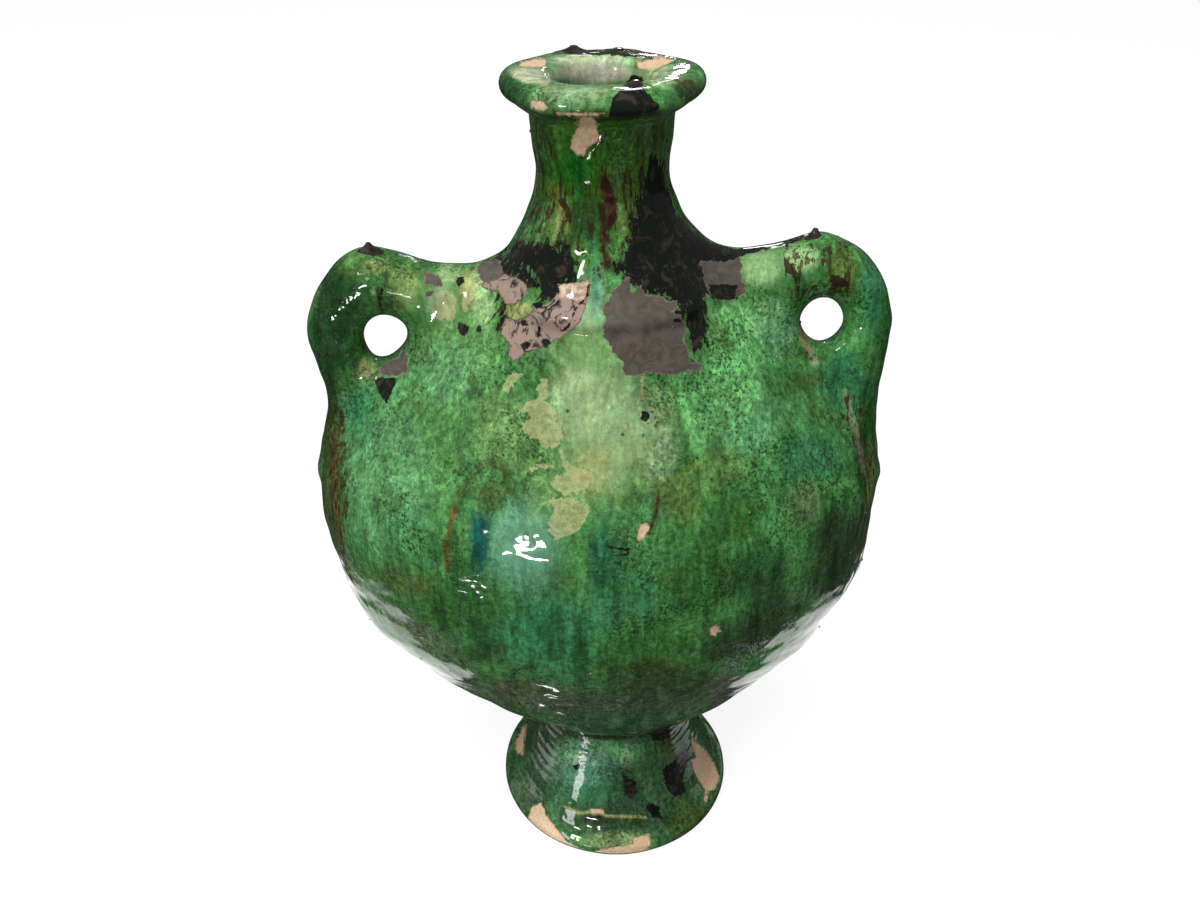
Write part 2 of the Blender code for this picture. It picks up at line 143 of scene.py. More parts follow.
# Lugs: the hole's middle and half width and height, the clay round it, and where it runs into the neck
LUG_ROUNDING = 0.0112
LUGS = {
    "left": {
        "side": -1,
        "hole": (0.0955, 0.2800),
        "half_hole": (0.0103, 0.0116),
        "crest": 0.0990,
        "side_level": 0.2820,
        "fullness": 0.44,
        "top": 0.3218,
        "reach": 0.1300,
        "root_rise": 0.0054,
    },
    "right": {
        "side": 1,
        "hole": (0.0965, 0.2892),
        "half_hole": (0.0094, 0.0104),
        "crest": 0.0925,
        "side_level": 0.2870,
        "fullness": 0.50,
        "top": 0.3282,
        "reach": 0.1266,
        "root_rise": 0.0126,
    },
}
HOLE_LEAN = (0.17, -0.42)
LUG_ROOT_INSET = 0.0130
LUG_SADDLE_DIP = 0.0080
LUG_SADDLE_SHARE = 0.57
LUG_CREST_PULL = 0.0098
LUG_SIDE_PULL = 0.0270
LUG_TAIL_RISE = 0.0150
LUG_TAIL_INSET = 0.0022
LUG_TAIL_PULL_IN = 0.0036
LUG_TAIL_PULL_UP = 0.0170
LUG_BURIED = 0.0180
LUG_GROWTH = 0.0030
LUG_INNERMOST = 0.0210

# The hand in it: the lip stands higher to the right and to the front, and rolls up under its edge
LIP_TILT_ACROSS = 0.010
LIP_TILT_BACK = 0.020
LIP_LIFT = 0.0012
LIP_FADE = (0.0060, 0.0080)
LIP_UNDERCUT = 0.0019
UNDERCUT_DEPTH = (0.0070, 0.0040)
UNDERCUT_RADIUS = (0.0330, 0.0060)

# Sways of the outline: level, half height and shift. Dents: middle, reach and move. Waves in the clay:
# direction, length, shift along it and height
SWAYS = ((0.1980, 0.0480, -0.0019), (0.1400, 0.0240, -0.0024))
DENTS = (
    ((-0.1260, -0.004, 0.2570), 0.0300, (0.0040, 0.0, 0.0)),
    ((-0.0400, -0.010, 0.3420), 0.0240, (0.0022, 0.0, 0.0)),
)
WAVES = (
    ((0.90, 0.30, 0.32), 0.0230, 0.4, 0.00016),
    ((-0.40, 0.55, 0.73), 0.0310, 2.1, 0.00020),
    ((0.62, -0.20, -0.76), 0.0170, 4.0, 0.00012),
    ((0.15, 0.20, 0.97), 0.0125, 1.3, 0.00008),
)

# Room that the cutting regions leave round a piece
REGION_MARGIN = 0.0200
SEAT_MARGIN = 0.0010
COLLAR_LIP = 0.0022
HOLLOW_SETBACK = 0.0006
HOLLOW_OVERLAP = 0.0030

# What counts as a piece, as lying on the skin and as facing its way
FEWEST_FACES = 100
SKIN_TOLERANCE = 0.00003
SEAM_COSINE = 0.5

# Camera, at the photograph's height and angle, and its distance from the body's front in mm
PHOTO_WIDTH = 1200
PHOTO_HEIGHT = 900
CAMERA_PLACE = (-0.0009, -0.4320, 0.5060)
CAMERA_PITCH = math.radians(33.5)
CAMERA_FOCUS = 1092.0
SENSOR_WIDTH = 36.0
FRONT_DISTANCE = 560.0
PIXELS_PER_MM = CAMERA_FOCUS / FRONT_DISTANCE

# Tables that hold the rules' distances: the step between their points, and their lowest and highest corners
TABLE_STEP = 0.00075
TURNED_SPAN = ((0.0, 0.050), (0.170, 0.420))
EAR_SPAN = ((0.020, 0.180), (0.150, 0.350))
HOLE_SPAN = ((0.060, 0.130), (0.240, 0.330))

# Fineness of the shapes, and how points are moved onto the skin
ROUGH_STEPS = 96
CURVE_STEPS = 20
PROJECTION_ROUNDS = 5
LONGEST_MOVE = 0.0020
LEAST_STEEPNESS = 0.05
PROBE = 0.00005
WELD = 0.00002
HOLE_STEPS = 40
HOLLOW_STEPS = 48
SECTION_STEPS = 44

# The foot's throwing rings, and the share of its section that has them
RINGS_PER_METRE = 1150.0
OUTSIDE_SHARE = 0.46


def smoothstep(value):
    """0 to 1 with level ends, as the value goes from 0 to 1."""
    value = np.clip(value, 0.0, 1.0)
    return value * value * (3.0 - 2.0 * value)


def bezier(start, start_pull, end_pull, end, steps=CURVE_STEPS):
    """Points of a cubic curve from start to end, without its first one."""
    t = np.linspace(0.0, 1.0, steps + 1)[1:, None]
    corners = [np.array(corner) for corner in (start, start_pull, end_pull, end)]
    weights = ((1 - t) ** 3, 3 * t * (1 - t) ** 2, 3 * t * t * (1 - t), t**3)
    return [tuple(point) for point in sum(w * c for w, c in zip(weights, corners))]


def arc(centre, half_width, half_height, start, end, steps=CURVE_STEPS):
    """Points of an elliptical arc between two angles in degrees, both ends included."""
    angles = np.radians(np.linspace(start, end, steps + 1))
    across = centre[0] + half_width * np.cos(angles)
    up = centre[1] + half_height * np.sin(angles)
    return list(zip(across, up))


def smooth_union(first, second, blend):
    """Union of two distances, with a fillet about as wide as the blend."""
    share = np.clip(0.5 + 0.5 * (second - first) / blend, 0.0, 1.0)
    return second * (1.0 - share) + first * share - blend * share * (1.0 - share)


def outline_distance(across, up, outline):
    """Signed distance of points to a closed outline, negative inside it."""
    nearest = np.full(across.shape, np.inf)
    inside = np.zeros(across.shape, bool)
    for (x0, z0), (x1, z1) in zip(outline, outline[1:] + outline[:1]):
        edge_x, edge_z = x1 - x0, z1 - z0
        length = edge_x * edge_x + edge_z * edge_z
        if length == 0.0:
            continue
        from_x, from_z = across - x0, up - z0
        along = np.clip((from_x * edge_x + from_z * edge_z) / length, 0.0, 1.0)
        nearest = np.minimum(nearest, (from_x - along * edge_x) ** 2 + (from_z - along * edge_z) ** 2)
        if edge_z != 0.0:
            straddles = (z0 > up) != (z1 > up)
            inside ^= straddles & (across < x0 + edge_x * (up - z0) / edge_z)
    return np.where(inside, -1.0, 1.0) * np.sqrt(nearest)


def outline_rule(outline):
    """The distance to one outline, as a rule for a table."""
    return lambda across, up: outline_distance(across, up, outline)


class DistanceTable:
    """A distance in a plane, worked out once on a fine grid and read between its points."""

    def __init__(self, rule, low, high):
        self.low = low
        self.shape = [int(math.ceil((high[axis] - low[axis]) / TABLE_STEP)) + 1 for axis in (0, 1)]
        across = low[0] + TABLE_STEP * np.arange(self.shape[0])
        up = low[1] + TABLE_STEP * np.arange(self.shape[1])
        grid = np.meshgrid(across, up, indexing="ij")
        self.values = rule(grid[0], grid[1])

    def read(self, across, up):
        """Distance at each point, from the four grid points round it."""
        column = np.clip((across - self.low[0]) / TABLE_STEP, 0, self.shape[0] - 1.001)
        row = np.clip((up - self.low[1]) / TABLE_STEP, 0, self.shape[1] - 1.001)
        left, bottom = column.astype(int), row.astype(int)
        share_x, share_z = column - left, row - bottom
        low = self.values[left, bottom] * (1 - share_x) + self.values[left + 1, bottom] * share_x
        high = self.values[left, bottom + 1] * (1 - share_x) + self.values[left + 1, bottom + 1] * share_x
        return low * (1 - share_z) + high * share_z


def flatness(height):
    """Depth as a share of width: round at the foot and the neck, and paddled flat between them."""
    flat = BODY_HALF_DEPTH / BODY_HALF_WIDTH
    above_foot = np.clip((height - UNDERSIDE - HAUNCH_RISE) / FLATTENED_ABOVE_FOOT, 0.0, 1.0)
    below_neck = np.clip((SEAT_LEVEL - height) / FLATTENED_BELOW_NECK, 0.0, 1.0)
    roundness = np.maximum((1.0 - above_foot) ** 3, (1.0 - below_neck) ** 3)
    return flat + (1.0 - flat) * roundness


def lean(height):
    """How far the shape stands to the right at a height: over the foot, and where the neck is seated."""
    foot = FOOT_SHIFT * (1.0 - smoothstep((height - UNDERSIDE - HAUNCH_RISE) / LEAN_HEIGHT))
    fade = np.where(height > SEAT_LEVEL, NECK_SHIFT_ABOVE, NECK_SHIFT_BELOW)
    return foot + NECK_SHIFT * (1.0 - smoothstep(np.abs(height - SEAT_LEVEL) / fade))


def body_outline():
    """The body's outer profile, from its mouth over shoulder, belly and haunch to under its middle."""
    seat = (SEAT_RADIUS, SEAT_LEVEL)
    belly = (BODY_HALF_WIDTH, BELLY_LEVEL)
    haunch = (HAUNCH_RADIUS, UNDERSIDE + HAUNCH_RISE)
    shoulder_pull = (
        seat[0] + SHOULDER_PULL * math.cos(SHOULDER_SLOPE),
        seat[1] - SHOULDER_PULL * math.sin(SHOULDER_SLOPE),
    )
    haunch_pull = (
        haunch[0] + HAUNCH_PULL * math.cos(HAUNCH_SLOPE),
        haunch[1] + HAUNCH_PULL * math.sin(HAUNCH_SLOPE),
    )
    outline = [seat]
    outline += bezier(seat, shoulder_pull, (belly[0], belly[1] + BELLY_PULL_UP), belly)
    outline += bezier(belly, (belly[0], belly[1] - BELLY_PULL_DOWN), haunch_pull, haunch)
    outline += [(HAUNCH_RADIUS - HAUNCH_RISE, UNDERSIDE), (0.0, UNDERSIDE)]
    return outline


def body_solid():
    """The body's half section without its hollow, with a cone under the neck."""
    cone_top = SEAT_LEVEL + SEAT_RADIUS * math.tan(SEAT_SLOPE)
    return [(0.0, cone_top)] + body_outline()


def neck_outline():
    """The neck's outer profile, from under the lip down to the edge of its skirt."""
    top = (NECK_TOP_RADIUS, NECK_TOP)
    throat = (NECK_RADIUS, NECK_TOP - NECK_THROAT_DEPTH)
    skirt = (SEAT_RADIUS, SEAT_LEVEL + SKIRT_EDGE)
    outline = [top]
    outline += bezier(top, (top[0], top[1] - THROAT_PULL), (throat[0], throat[1] + THROAT_PULL), throat)
    outline += bezier(
        throat,
        (throat[0], throat[1] - SKIRT_PULL_DOWN),
        (skirt[0] - SKIRT_PULL_IN, skirt[1] + SKIRT_PULL_UP),
        skirt,
    )
    return outline


def neck_solid():
    """The neck's half section without its bore, let into the body below and the lip above."""
    below = SEAT_LEVEL - SKIRT_EDGE
    above = [(0.0, RIM_BASE), (NECK_TOP_RADIUS, RIM_BASE)]
    return above + neck_outline() + [(SEAT_RADIUS, below), (0.0, below)]


def rim_solid():
    """The lip's half section without its bore: a fat roll with a broad top."""
    middle = (RIM_RADIUS - ROLL_HALF_WIDTH, RIM_TOP - ROLL_HALF_HEIGHT)
    roll = arc(middle, ROLL_HALF_WIDTH, ROLL_HALF_HEIGHT, ROLL_START, ROLL_END)
    return [(0.0, RIM_TOP)] + roll + [(NECK_TOP_RADIUS, RIM_BASE), (0.0, RIM_BASE)]


def bore_solid():
    """The bore's half section, which opens out into the mouth."""
    throat = (MOUTH_RADIUS, RIM_TOP - MOUTH_ROUNDING)
    brim = (MOUTH_RADIUS + MOUTH_ROUNDING, RIM_TOP + BRIM_RISE)
    above = RIM_TOP + MOUTH_ROUNDING
    shoulder = (BORE_RADIUS, RIM_BASE - BORE_SHOULDER_DEPTH)
    outline = [(0.0, BORE_FLOOR), (BORE_RADIUS, BORE_FLOOR), shoulder, throat]
    outline += bezier(throat, (throat[0], throat[1] + MOUTH_PULL), (brim[0] - MOUTH_PULL, brim[1]), brim)
    outline += [(brim[0], above), (0.0, above)]
    return outline


def collar_section():
    """The roll of clay pressed into the joint between foot and body."""
    middle = (WAIST_RADIUS + COLLAR_HALF_THICKNESS - COLLAR_SETBACK, FOOT_HEIGHT)
    return arc(middle, COLLAR_HALF_THICKNESS, COLLAR_HALF_THICKNESS, 90, -270)[:-1]


def turned_rule(radius, height):
    """Distance to body, neck and lip as one turned solid with its bore."""
    solid = outline_distance(radius, height, body_solid())
    others = (neck_solid(), NECK_BLEND), (rim_solid(), LIP_BLEND), (collar_section(), COLLAR_BLEND)
    for other, blend in others:
        solid = smooth_union(solid, outline_distance(radius, height, other), blend)
    return -smooth_union(-solid, outline_distance(radius, height, bore_solid()), BORE_BLEND)


def lug_outline(lug):
    """The ear's outline, out from inside the neck, over the ear and down its tail into the belly."""
    top, reach, side, fullness = lug["top"], lug["reach"], lug["side_level"], lug["fullness"]
    root = (SEAT_RADIUS - LUG_ROOT_INSET, SEAT_LEVEL + lug["root_rise"])
    crest = (lug["crest"], top)
    saddle = (root[0] + (crest[0] - root[0]) * LUG_SADDLE_SHARE, root[1] - LUG_SADDLE_DIP)
    tail = (BODY_HALF_WIDTH - LUG_TAIL_INSET, BELLY_LEVEL + LUG_TAIL_RISE)
    outline = [root]
    outline += bezier(root, saddle, (crest[0] - LUG_CREST_PULL, top), crest)
    outline += bezier(
        crest,
        (crest[0] + fullness * (reach - crest[0]), top),
        (reach, side + fullness * (top - side)),
        (reach, side),
    )
    outline += bezier(
        (reach, side),
        (reach, side - LUG_SIDE_PULL),
        (reach - LUG_TAIL_PULL_IN, tail[1] + LUG_TAIL_PULL_UP),
        tail,
    )
    outline += [(tail[0] - LUG_BURIED, tail[1] - LUG_BURIED), (root[0], tail[1] - LUG_BURIED)]
    return outline


def hole_outline(lug):
    """The lug's hole in its middle plane."""
    return arc(lug["hole"], *lug["half_hole"], 0, 360, HOLE_STEPS)[:-1]


class FlaskRule:
    """Distance from any point to the flask's skin, with every joint smoothed by a potter's thumb."""

    def __init__(self, lug_blend):
        self.turned = DistanceTable(turned_rule, *TURNED_SPAN)
        self.lugs = []
        for lug in LUGS.values():
            ear = DistanceTable(outline_rule(lug_outline(lug)), *EAR_SPAN)
            hole = DistanceTable(outline_rule(hole_outline(lug)), *HOLE_SPAN)
            self.lugs.append((lug["side"], ear, hole))
        self.lug_blend = lug_blend

    def distance(self, points):
        """How far each point lies outside the skin."""
        x, y, z = points.T
        radius = np.hypot(x - lean(z), y / flatness(z))
        skin = self.turned.read(radius, z)
        for side, ear_table, hole_table in self.lugs:
            hole = hole_table.read(x * side - y * HOLE_LEAN[0], z - y * HOLE_LEAN[1])
            ear = np.maximum(ear_table.read(x * side, z), -hole) + LUG_ROUNDING
            thick = np.abs(y) - (LUG_HALF_THICKNESS - LUG_ROUNDING)
            outside = np.hypot(np.maximum(ear, 0.0), np.maximum(thick, 0.0))
            lug = outside + np.minimum(np.maximum(ear, thick), 0.0) - LUG_ROUNDING
            lug = np.where(x * side > LUG_INNERMOST, lug, 1.0)
            skin = smooth_union(skin, lug, self.lug_blend)
        return skin

    def slope(self, points):
        """How the distance grows along each axis."""
        slope = np.empty_like(points)
        for axis in range(3):
            step = np.zeros(3)
            step[axis] = PROBE
            slope[:, axis] = (self.distance(points + step) - self.distance(points - step)) / (2 * PROBE)
        return slope

    def settle(self, points):
        """Points moved onto the skin."""
        for _ in range(PROJECTION_ROUNDS):
            slope = self.slope(points)
            steepness = np.maximum((slope**2).sum(axis=1), LEAST_STEEPNESS)
            move = slope * (self.distance(points) / steepness)[:, None]
            length = np.linalg.norm(move, axis=1)
            points = points - move * np.minimum(1.0, LONGEST_MOVE / np.maximum(length, 1e-9))[:, None]
        return points


def photo_pixels(points):
    """Where each point shows in the photograph."""
    cosine, sine = math.cos(CAMERA_PITCH), math.sin(CAMERA_PITCH)
    away = points - np.array(CAMERA_PLACE)
    depth = away[:, 1] * cosine - away[:, 2] * sine
    right = PHOTO_WIDTH / 2 + CAMERA_FOCUS * away[:, 0] / depth
    down = PHOTO_HEIGHT / 2 - CAMERA_FOCUS * (away[:, 1] * sine + away[:, 2] * cosine) / depth
    return right, down


def link(name, mesh):
    piece = bpy.data.objects.new(name, mesh)
    bpy.context.scene.collection.objects.link(piece)
    return piece


def settled(piece, name=None):
    """An object's modifiers or curve as a plain mesh in a new object at the origin."""
    bpy.context.view_layer.update()
    evaluated = piece.evaluated_get(bpy.context.evaluated_depsgraph_get())
    mesh = bpy.data.meshes.new_from_object(evaluated)
    mesh.transform(piece.matrix_world)
    name = name or piece.name
    bpy.data.objects.remove(piece)
    return link(name, mesh)


def turned(name, profile, steps=ROUGH_STEPS, closed=False):
    """Spin a profile of (radius, height), from the top down its outer side, round the Z axis."""
    points = [(radius, 0.0, height) for radius, height in profile]
    edges = [(index, index + 1) for index in range(len(points) - 1)]
    if closed:
        edges.append((len(points) - 1, 0))
    mesh = bpy.data.meshes.new(name)
    mesh.from_pydata(points, edges, [])
    piece = link(name, mesh)
    spin = piece.modifiers.new("Spin", "SCREW")
    spin.axis = "Z"
    spin.steps = steps
    spin.render_steps = steps
    spin.use_merge_vertices = True
    spin.merge_threshold = WELD
    piece = settled(piece)
    shape_by_hand(piece.data)
    face_outwards(piece.data)
    return piece


def shape_by_hand(mesh):
    """Paddle a turned mesh flat between foot and neck, and lean it over to both."""
    points = vertex_places(mesh)
    points[:, 0] += lean(points[:, 2])
    points[:, 1] *= flatness(points[:, 2])
    place_vertices(mesh, points)


def face_outwards(mesh):
    """Weld a closed mesh and point its faces out."""
    shape = bmesh.new()
    shape.from_mesh(mesh)
    bmesh.ops.remove_doubles(shape, verts=shape.verts, dist=WELD)
    bmesh.ops.recalc_face_normals(shape, faces=shape.faces)
    shape.to_mesh(mesh)
    shape.free()


def vertex_places(mesh):
    places = np.empty(len(mesh.vertices) * 3)
    mesh.vertices.foreach_get("co", places)
    return places.reshape(-1, 3)


def vertex_normals(mesh):
    normals = np.empty(len(mesh.vertices) * 3)
    mesh.vertex_normals.foreach_get("vector", normals)
    return normals.reshape(-1, 3)


def place_vertices(mesh, places):
    mesh.vertices.foreach_set("co", np.ascontiguousarray(places).ravel())
    mesh.update()


def ear(name, lug, growth=0.0):
    """The lug's rough solid: its outline as a flat curve with round edges, stood upright."""
    curve = bpy.data.curves.new(name, "CURVE")
    curve.dimensions = "2D"
    curve.fill_mode = "BOTH"
    curve.extrude = LUG_HALF_THICKNESS - LUG_ROUNDING
    curve.bevel_depth = LUG_ROUNDING + growth
    curve.bevel_resolution = 3
    curve.offset = -LUG_ROUNDING
    outlines = [lug_outline(lug)]
    if growth == 0.0:
        outlines.append(hole_outline(lug))
    for outline in outlines:
        line = curve.splines.new("POLY")
        line.points.add(len(outline) - 1)
        for point, (across, up) in zip(line.points, outline):
            point.co = (across, up, 0.0, 1.0)
        line.use_cyclic_u = True
    piece = link(name, curve)
    piece.rotation_euler = (math.pi / 2, 0.0, 0.0)
    piece = settled(piece)
    places = vertex_places(piece.data)
    places[:, 0] *= lug["side"]
    place_vertices(piece.data, places)
    face_outwards(piece.data)
    return piece


def mesh_of(shape, name):
    """A new mesh with the faces of a bmesh, which is freed."""
    mesh = bpy.data.meshes.new(name)
    shape.to_mesh(mesh)
    shape.free()
    return mesh


def joined(name, pieces):
    """One object with the meshes of several, which are removed."""
    shape = bmesh.new()
    for piece in pieces:
        shape.from_mesh(piece.data)
        bpy.data.objects.remove(piece)
    return link(name, mesh_of(shape, name))


def cut(piece, other, operation):
    """A closed mesh cut or joined with another."""
    change = piece.modifiers.new("Cut", "BOOLEAN")
    change.operation = operation
    change.solver = "MANIFOLD"
    change.object = other
    return settled(piece)


def rough_flask():
    """Body, collar, neck with its bore, lip and lugs as overlapping closed solids."""
    inside = SEAT_LEVEL - NECK_LET_IN
    neck = bore_solid()[:-2] + rim_solid()[1:-1] + neck_outline() + [(SEAT_RADIUS, inside), (0.0, inside)]
    pieces = [turned("rough_body", body_solid()), turned("rough_neck", neck)]
    pieces.append(turned("rough_collar", collar_section(), closed=True))
    pieces += [ear("rough_lug_" + name, lug) for name, lug in LUGS.items()]
    return joined("flask_skin", pieces)


def hand_made(places, normals):
    """The small ways in which the flask leaves its rules: the lip's tilt and slow waves in the clay."""
    x, y, z = places.T
    on_lip = smoothstep((z - NECK_TOP + LIP_FADE[0]) / LIP_FADE[1])
    moved = places.copy()
    moved[:, 2] += on_lip * (LIP_TILT_ACROSS * x - LIP_TILT_BACK * y + LIP_LIFT * (x / RIM_RADIUS) ** 2)
    low = smoothstep((RIM_TOP - UNDERCUT_DEPTH[0] - z) / UNDERCUT_DEPTH[1])
    outer = smoothstep((np.hypot(x, y) - UNDERCUT_RADIUS[0]) / UNDERCUT_RADIUS[1])
    moved[:, 2] += LIP_UNDERCUT * (low * outer) * on_lip
    for level, half, shift in SWAYS:
        moved[:, 0] += shift * smoothstep(1.0 - np.abs(z - level) / half)
    for middle, reach, move in DENTS:
        share = smoothstep(1.0 - np.linalg.norm(places - np.array(middle), axis=1) / reach)
        moved += share[:, None] * np.array(move)
    wave = np.zeros(len(places))
    for direction, length, shift, height in WAVES:
        along = places @ (np.array(direction) * (2.0 * math.pi / length))
        wave += height * np.sin(along + shift)
    return moved + normals * wave[:, None]


def make_skin(step, lug_blend):
    """The whole flask above its foot as one even mesh, with every point settled on the rule's skin."""
    rule = FlaskRule(lug_blend)
    skin = rough_flask()
    remesh = skin.modifiers.new("Even", "REMESH")
    remesh.mode = "VOXEL"
    remesh.voxel_size = step
    skin = settled(skin)
    place_vertices(skin.data, rule.settle(vertex_places(skin.data)))
    skin.data.shade_smooth()
    place_vertices(skin.data, hand_made(vertex_places(skin.data), vertex_normals(skin.data)))
    return skin


def neck_region():
    """The space over the cone that the neck was seated on."""
    reach = SEAT_RADIUS + SEAT_MARGIN
    top = SEAT_LEVEL + SEAT_RADIUS * math.tan(SEAT_SLOPE)
    return turned("neck_region", [(0.0, RIM_TOP), (reach, RIM_TOP), (reach, SEAT_LEVEL), (0.0, top)])


def lip_region():
    """The space over the top of the neck."""
    reach = RIM_RADIUS + REGION_MARGIN
    above = RIM_TOP + REGION_MARGIN
    return turned("lip_region", [(0.0, above), (reach, above), (reach, RIM_BASE), (0.0, RIM_BASE)])


def collar_region():
    """The space below the body's underside."""
    reach = HAUNCH_RADIUS + REGION_MARGIN
    below = FOOT_HEIGHT - REGION_MARGIN
    top = UNDERSIDE + COLLAR_LIP
    profile = [(0.0, UNDERSIDE), (HAUNCH_RADIUS, top), (reach, top), (reach, below), (0.0, below)]
    return turned("collar_region", profile)


def lug_region(name):
    """The space round a lug outside the body's own curve."""
    region = ear("region_" + name, LUGS[name], growth=LUG_GROWTH)
    core = turned("core", body_solid())
    region = cut(region, core, "DIFFERENCE")
    bpy.data.objects.remove(core)
    return region


def hollow_region():
    """The body's hollow, with the bore that runs up from it into the neck."""
    outline = np.array(body_outline())
    along = np.gradient(outline, axis=0)
    across = np.column_stack((along[:, 1], -along[:, 0])) / np.linalg.norm(along, axis=1)[:, None]
    inner = outline + across * BODY_WALL
    inner = [tuple(point) for point in inner if point[0] > BORE_RADIUS]
    narrow = BORE_RADIUS - HOLLOW_SETBACK
    top = BORE_FLOOR + HOLLOW_OVERLAP
    profile = [(0.0, top), (narrow, top), (narrow, inner[0][1])] + inner + [(0.0, inner[-1][1])]
    return turned("hollow_region", profile, steps=HOLLOW_STEPS)


def half_region(side):
    """A box over the front or the back half of the body."""
    reach = BODY_HALF_WIDTH + REGION_MARGIN
    shape = bmesh.new()
    bmesh.ops.create_cube(shape, size=1.0)
    for vertex in shape.verts:
        vertex.co.x *= 2 * reach
        vertex.co.y = side * (vertex.co.y + 0.5) * reach
        vertex.co.z = vertex.co.z * 2 * reach + BELLY_LEVEL
    mesh = mesh_of(shape, "half_region")
    face_outwards(mesh)
    return link("half_region", mesh)


def carve(stock, region, name):
    """Take the part of the stock that lies in a region as a new piece, and leave the rest."""
    piece = cut(link(name, stock.data.copy()), region, "INTERSECT")
    rest = cut(stock, region, "DIFFERENCE")
    bpy.data.objects.remove(region)
    if min(len(piece.data.polygons), len(rest.data.polygons)) < FEWEST_FACES:
        raise RuntimeError("nothing could be carved for " + name)
    return piece, rest


class SkinShade:
    """The whole skin's own normals, which its pieces keep so that no seam shows."""

    def __init__(self, skin):
        self.faces = [tuple(face.vertices) for face in skin.data.polygons]
        self.places = vertex_places(skin.data)
        self.normals = vertex_normals(skin.data)
        self.tree = BVHTree.FromPolygons([tuple(place) for place in self.places], self.faces)

    def normals_of(self, places):
        """The skin's normal at each place, and whether the place lies on the skin."""
        normals = np.zeros((len(places), 3))
        on_skin = np.zeros(len(places), bool)
        for index, place in enumerate(places):
            spot, _, face, away = self.tree.find_nearest(Vector(place))
            corners = list(self.faces[face])
            reach = np.linalg.norm(self.places[corners] - place, axis=1)
            weight = 1.0 / (reach + 1e-9)
            normals[index] = (self.normals[corners] * weight[:, None]).sum(axis=0)
            on_skin[index] = away < SKIN_TOLERANCE
        normals /= np.maximum(np.linalg.norm(normals, axis=1), 1e-9)[:, None]
        return normals, on_skin


def smooth_like_skin(piece, shade):
    """Give a carved piece the skin's normals on its outside, and its own on the cuts."""
    mesh = piece.data
    mesh.shade_smooth()
    places = vertex_places(mesh)
    normals, on_skin = shade.normals_of(places)
    face_normals = np.empty(len(mesh.polygons) * 3)
    mesh.polygons.foreach_get("normal", face_normals)
    sizes = np.empty(len(mesh.polygons), int)
    mesh.polygons.foreach_get("loop_total", sizes)
    flat = np.repeat(face_normals.reshape(-1, 3), sizes, axis=0)
    corner = np.empty(len(mesh.loops), int)
    mesh.loops.foreach_get("vertex_index", corner)
    wanted = normals[corner]
    outside = on_skin[corner] & ((wanted * flat).sum(axis=1) > SEAM_COSINE)
    mesh.normals_split_custom_set(np.where(outside[:, None], wanted, flat).tolist())
    return normals


def srgb(red, green, blue):
    """A colour written in steps of 0 to 255 as the linear one that shaders take."""
    steps = [value / 255 for value in (red, green, blue)]
    return tuple(step / 12.92 if step <= 0.04045 else ((step + 0.055) / 1.055) ** 2.4 for step in steps)


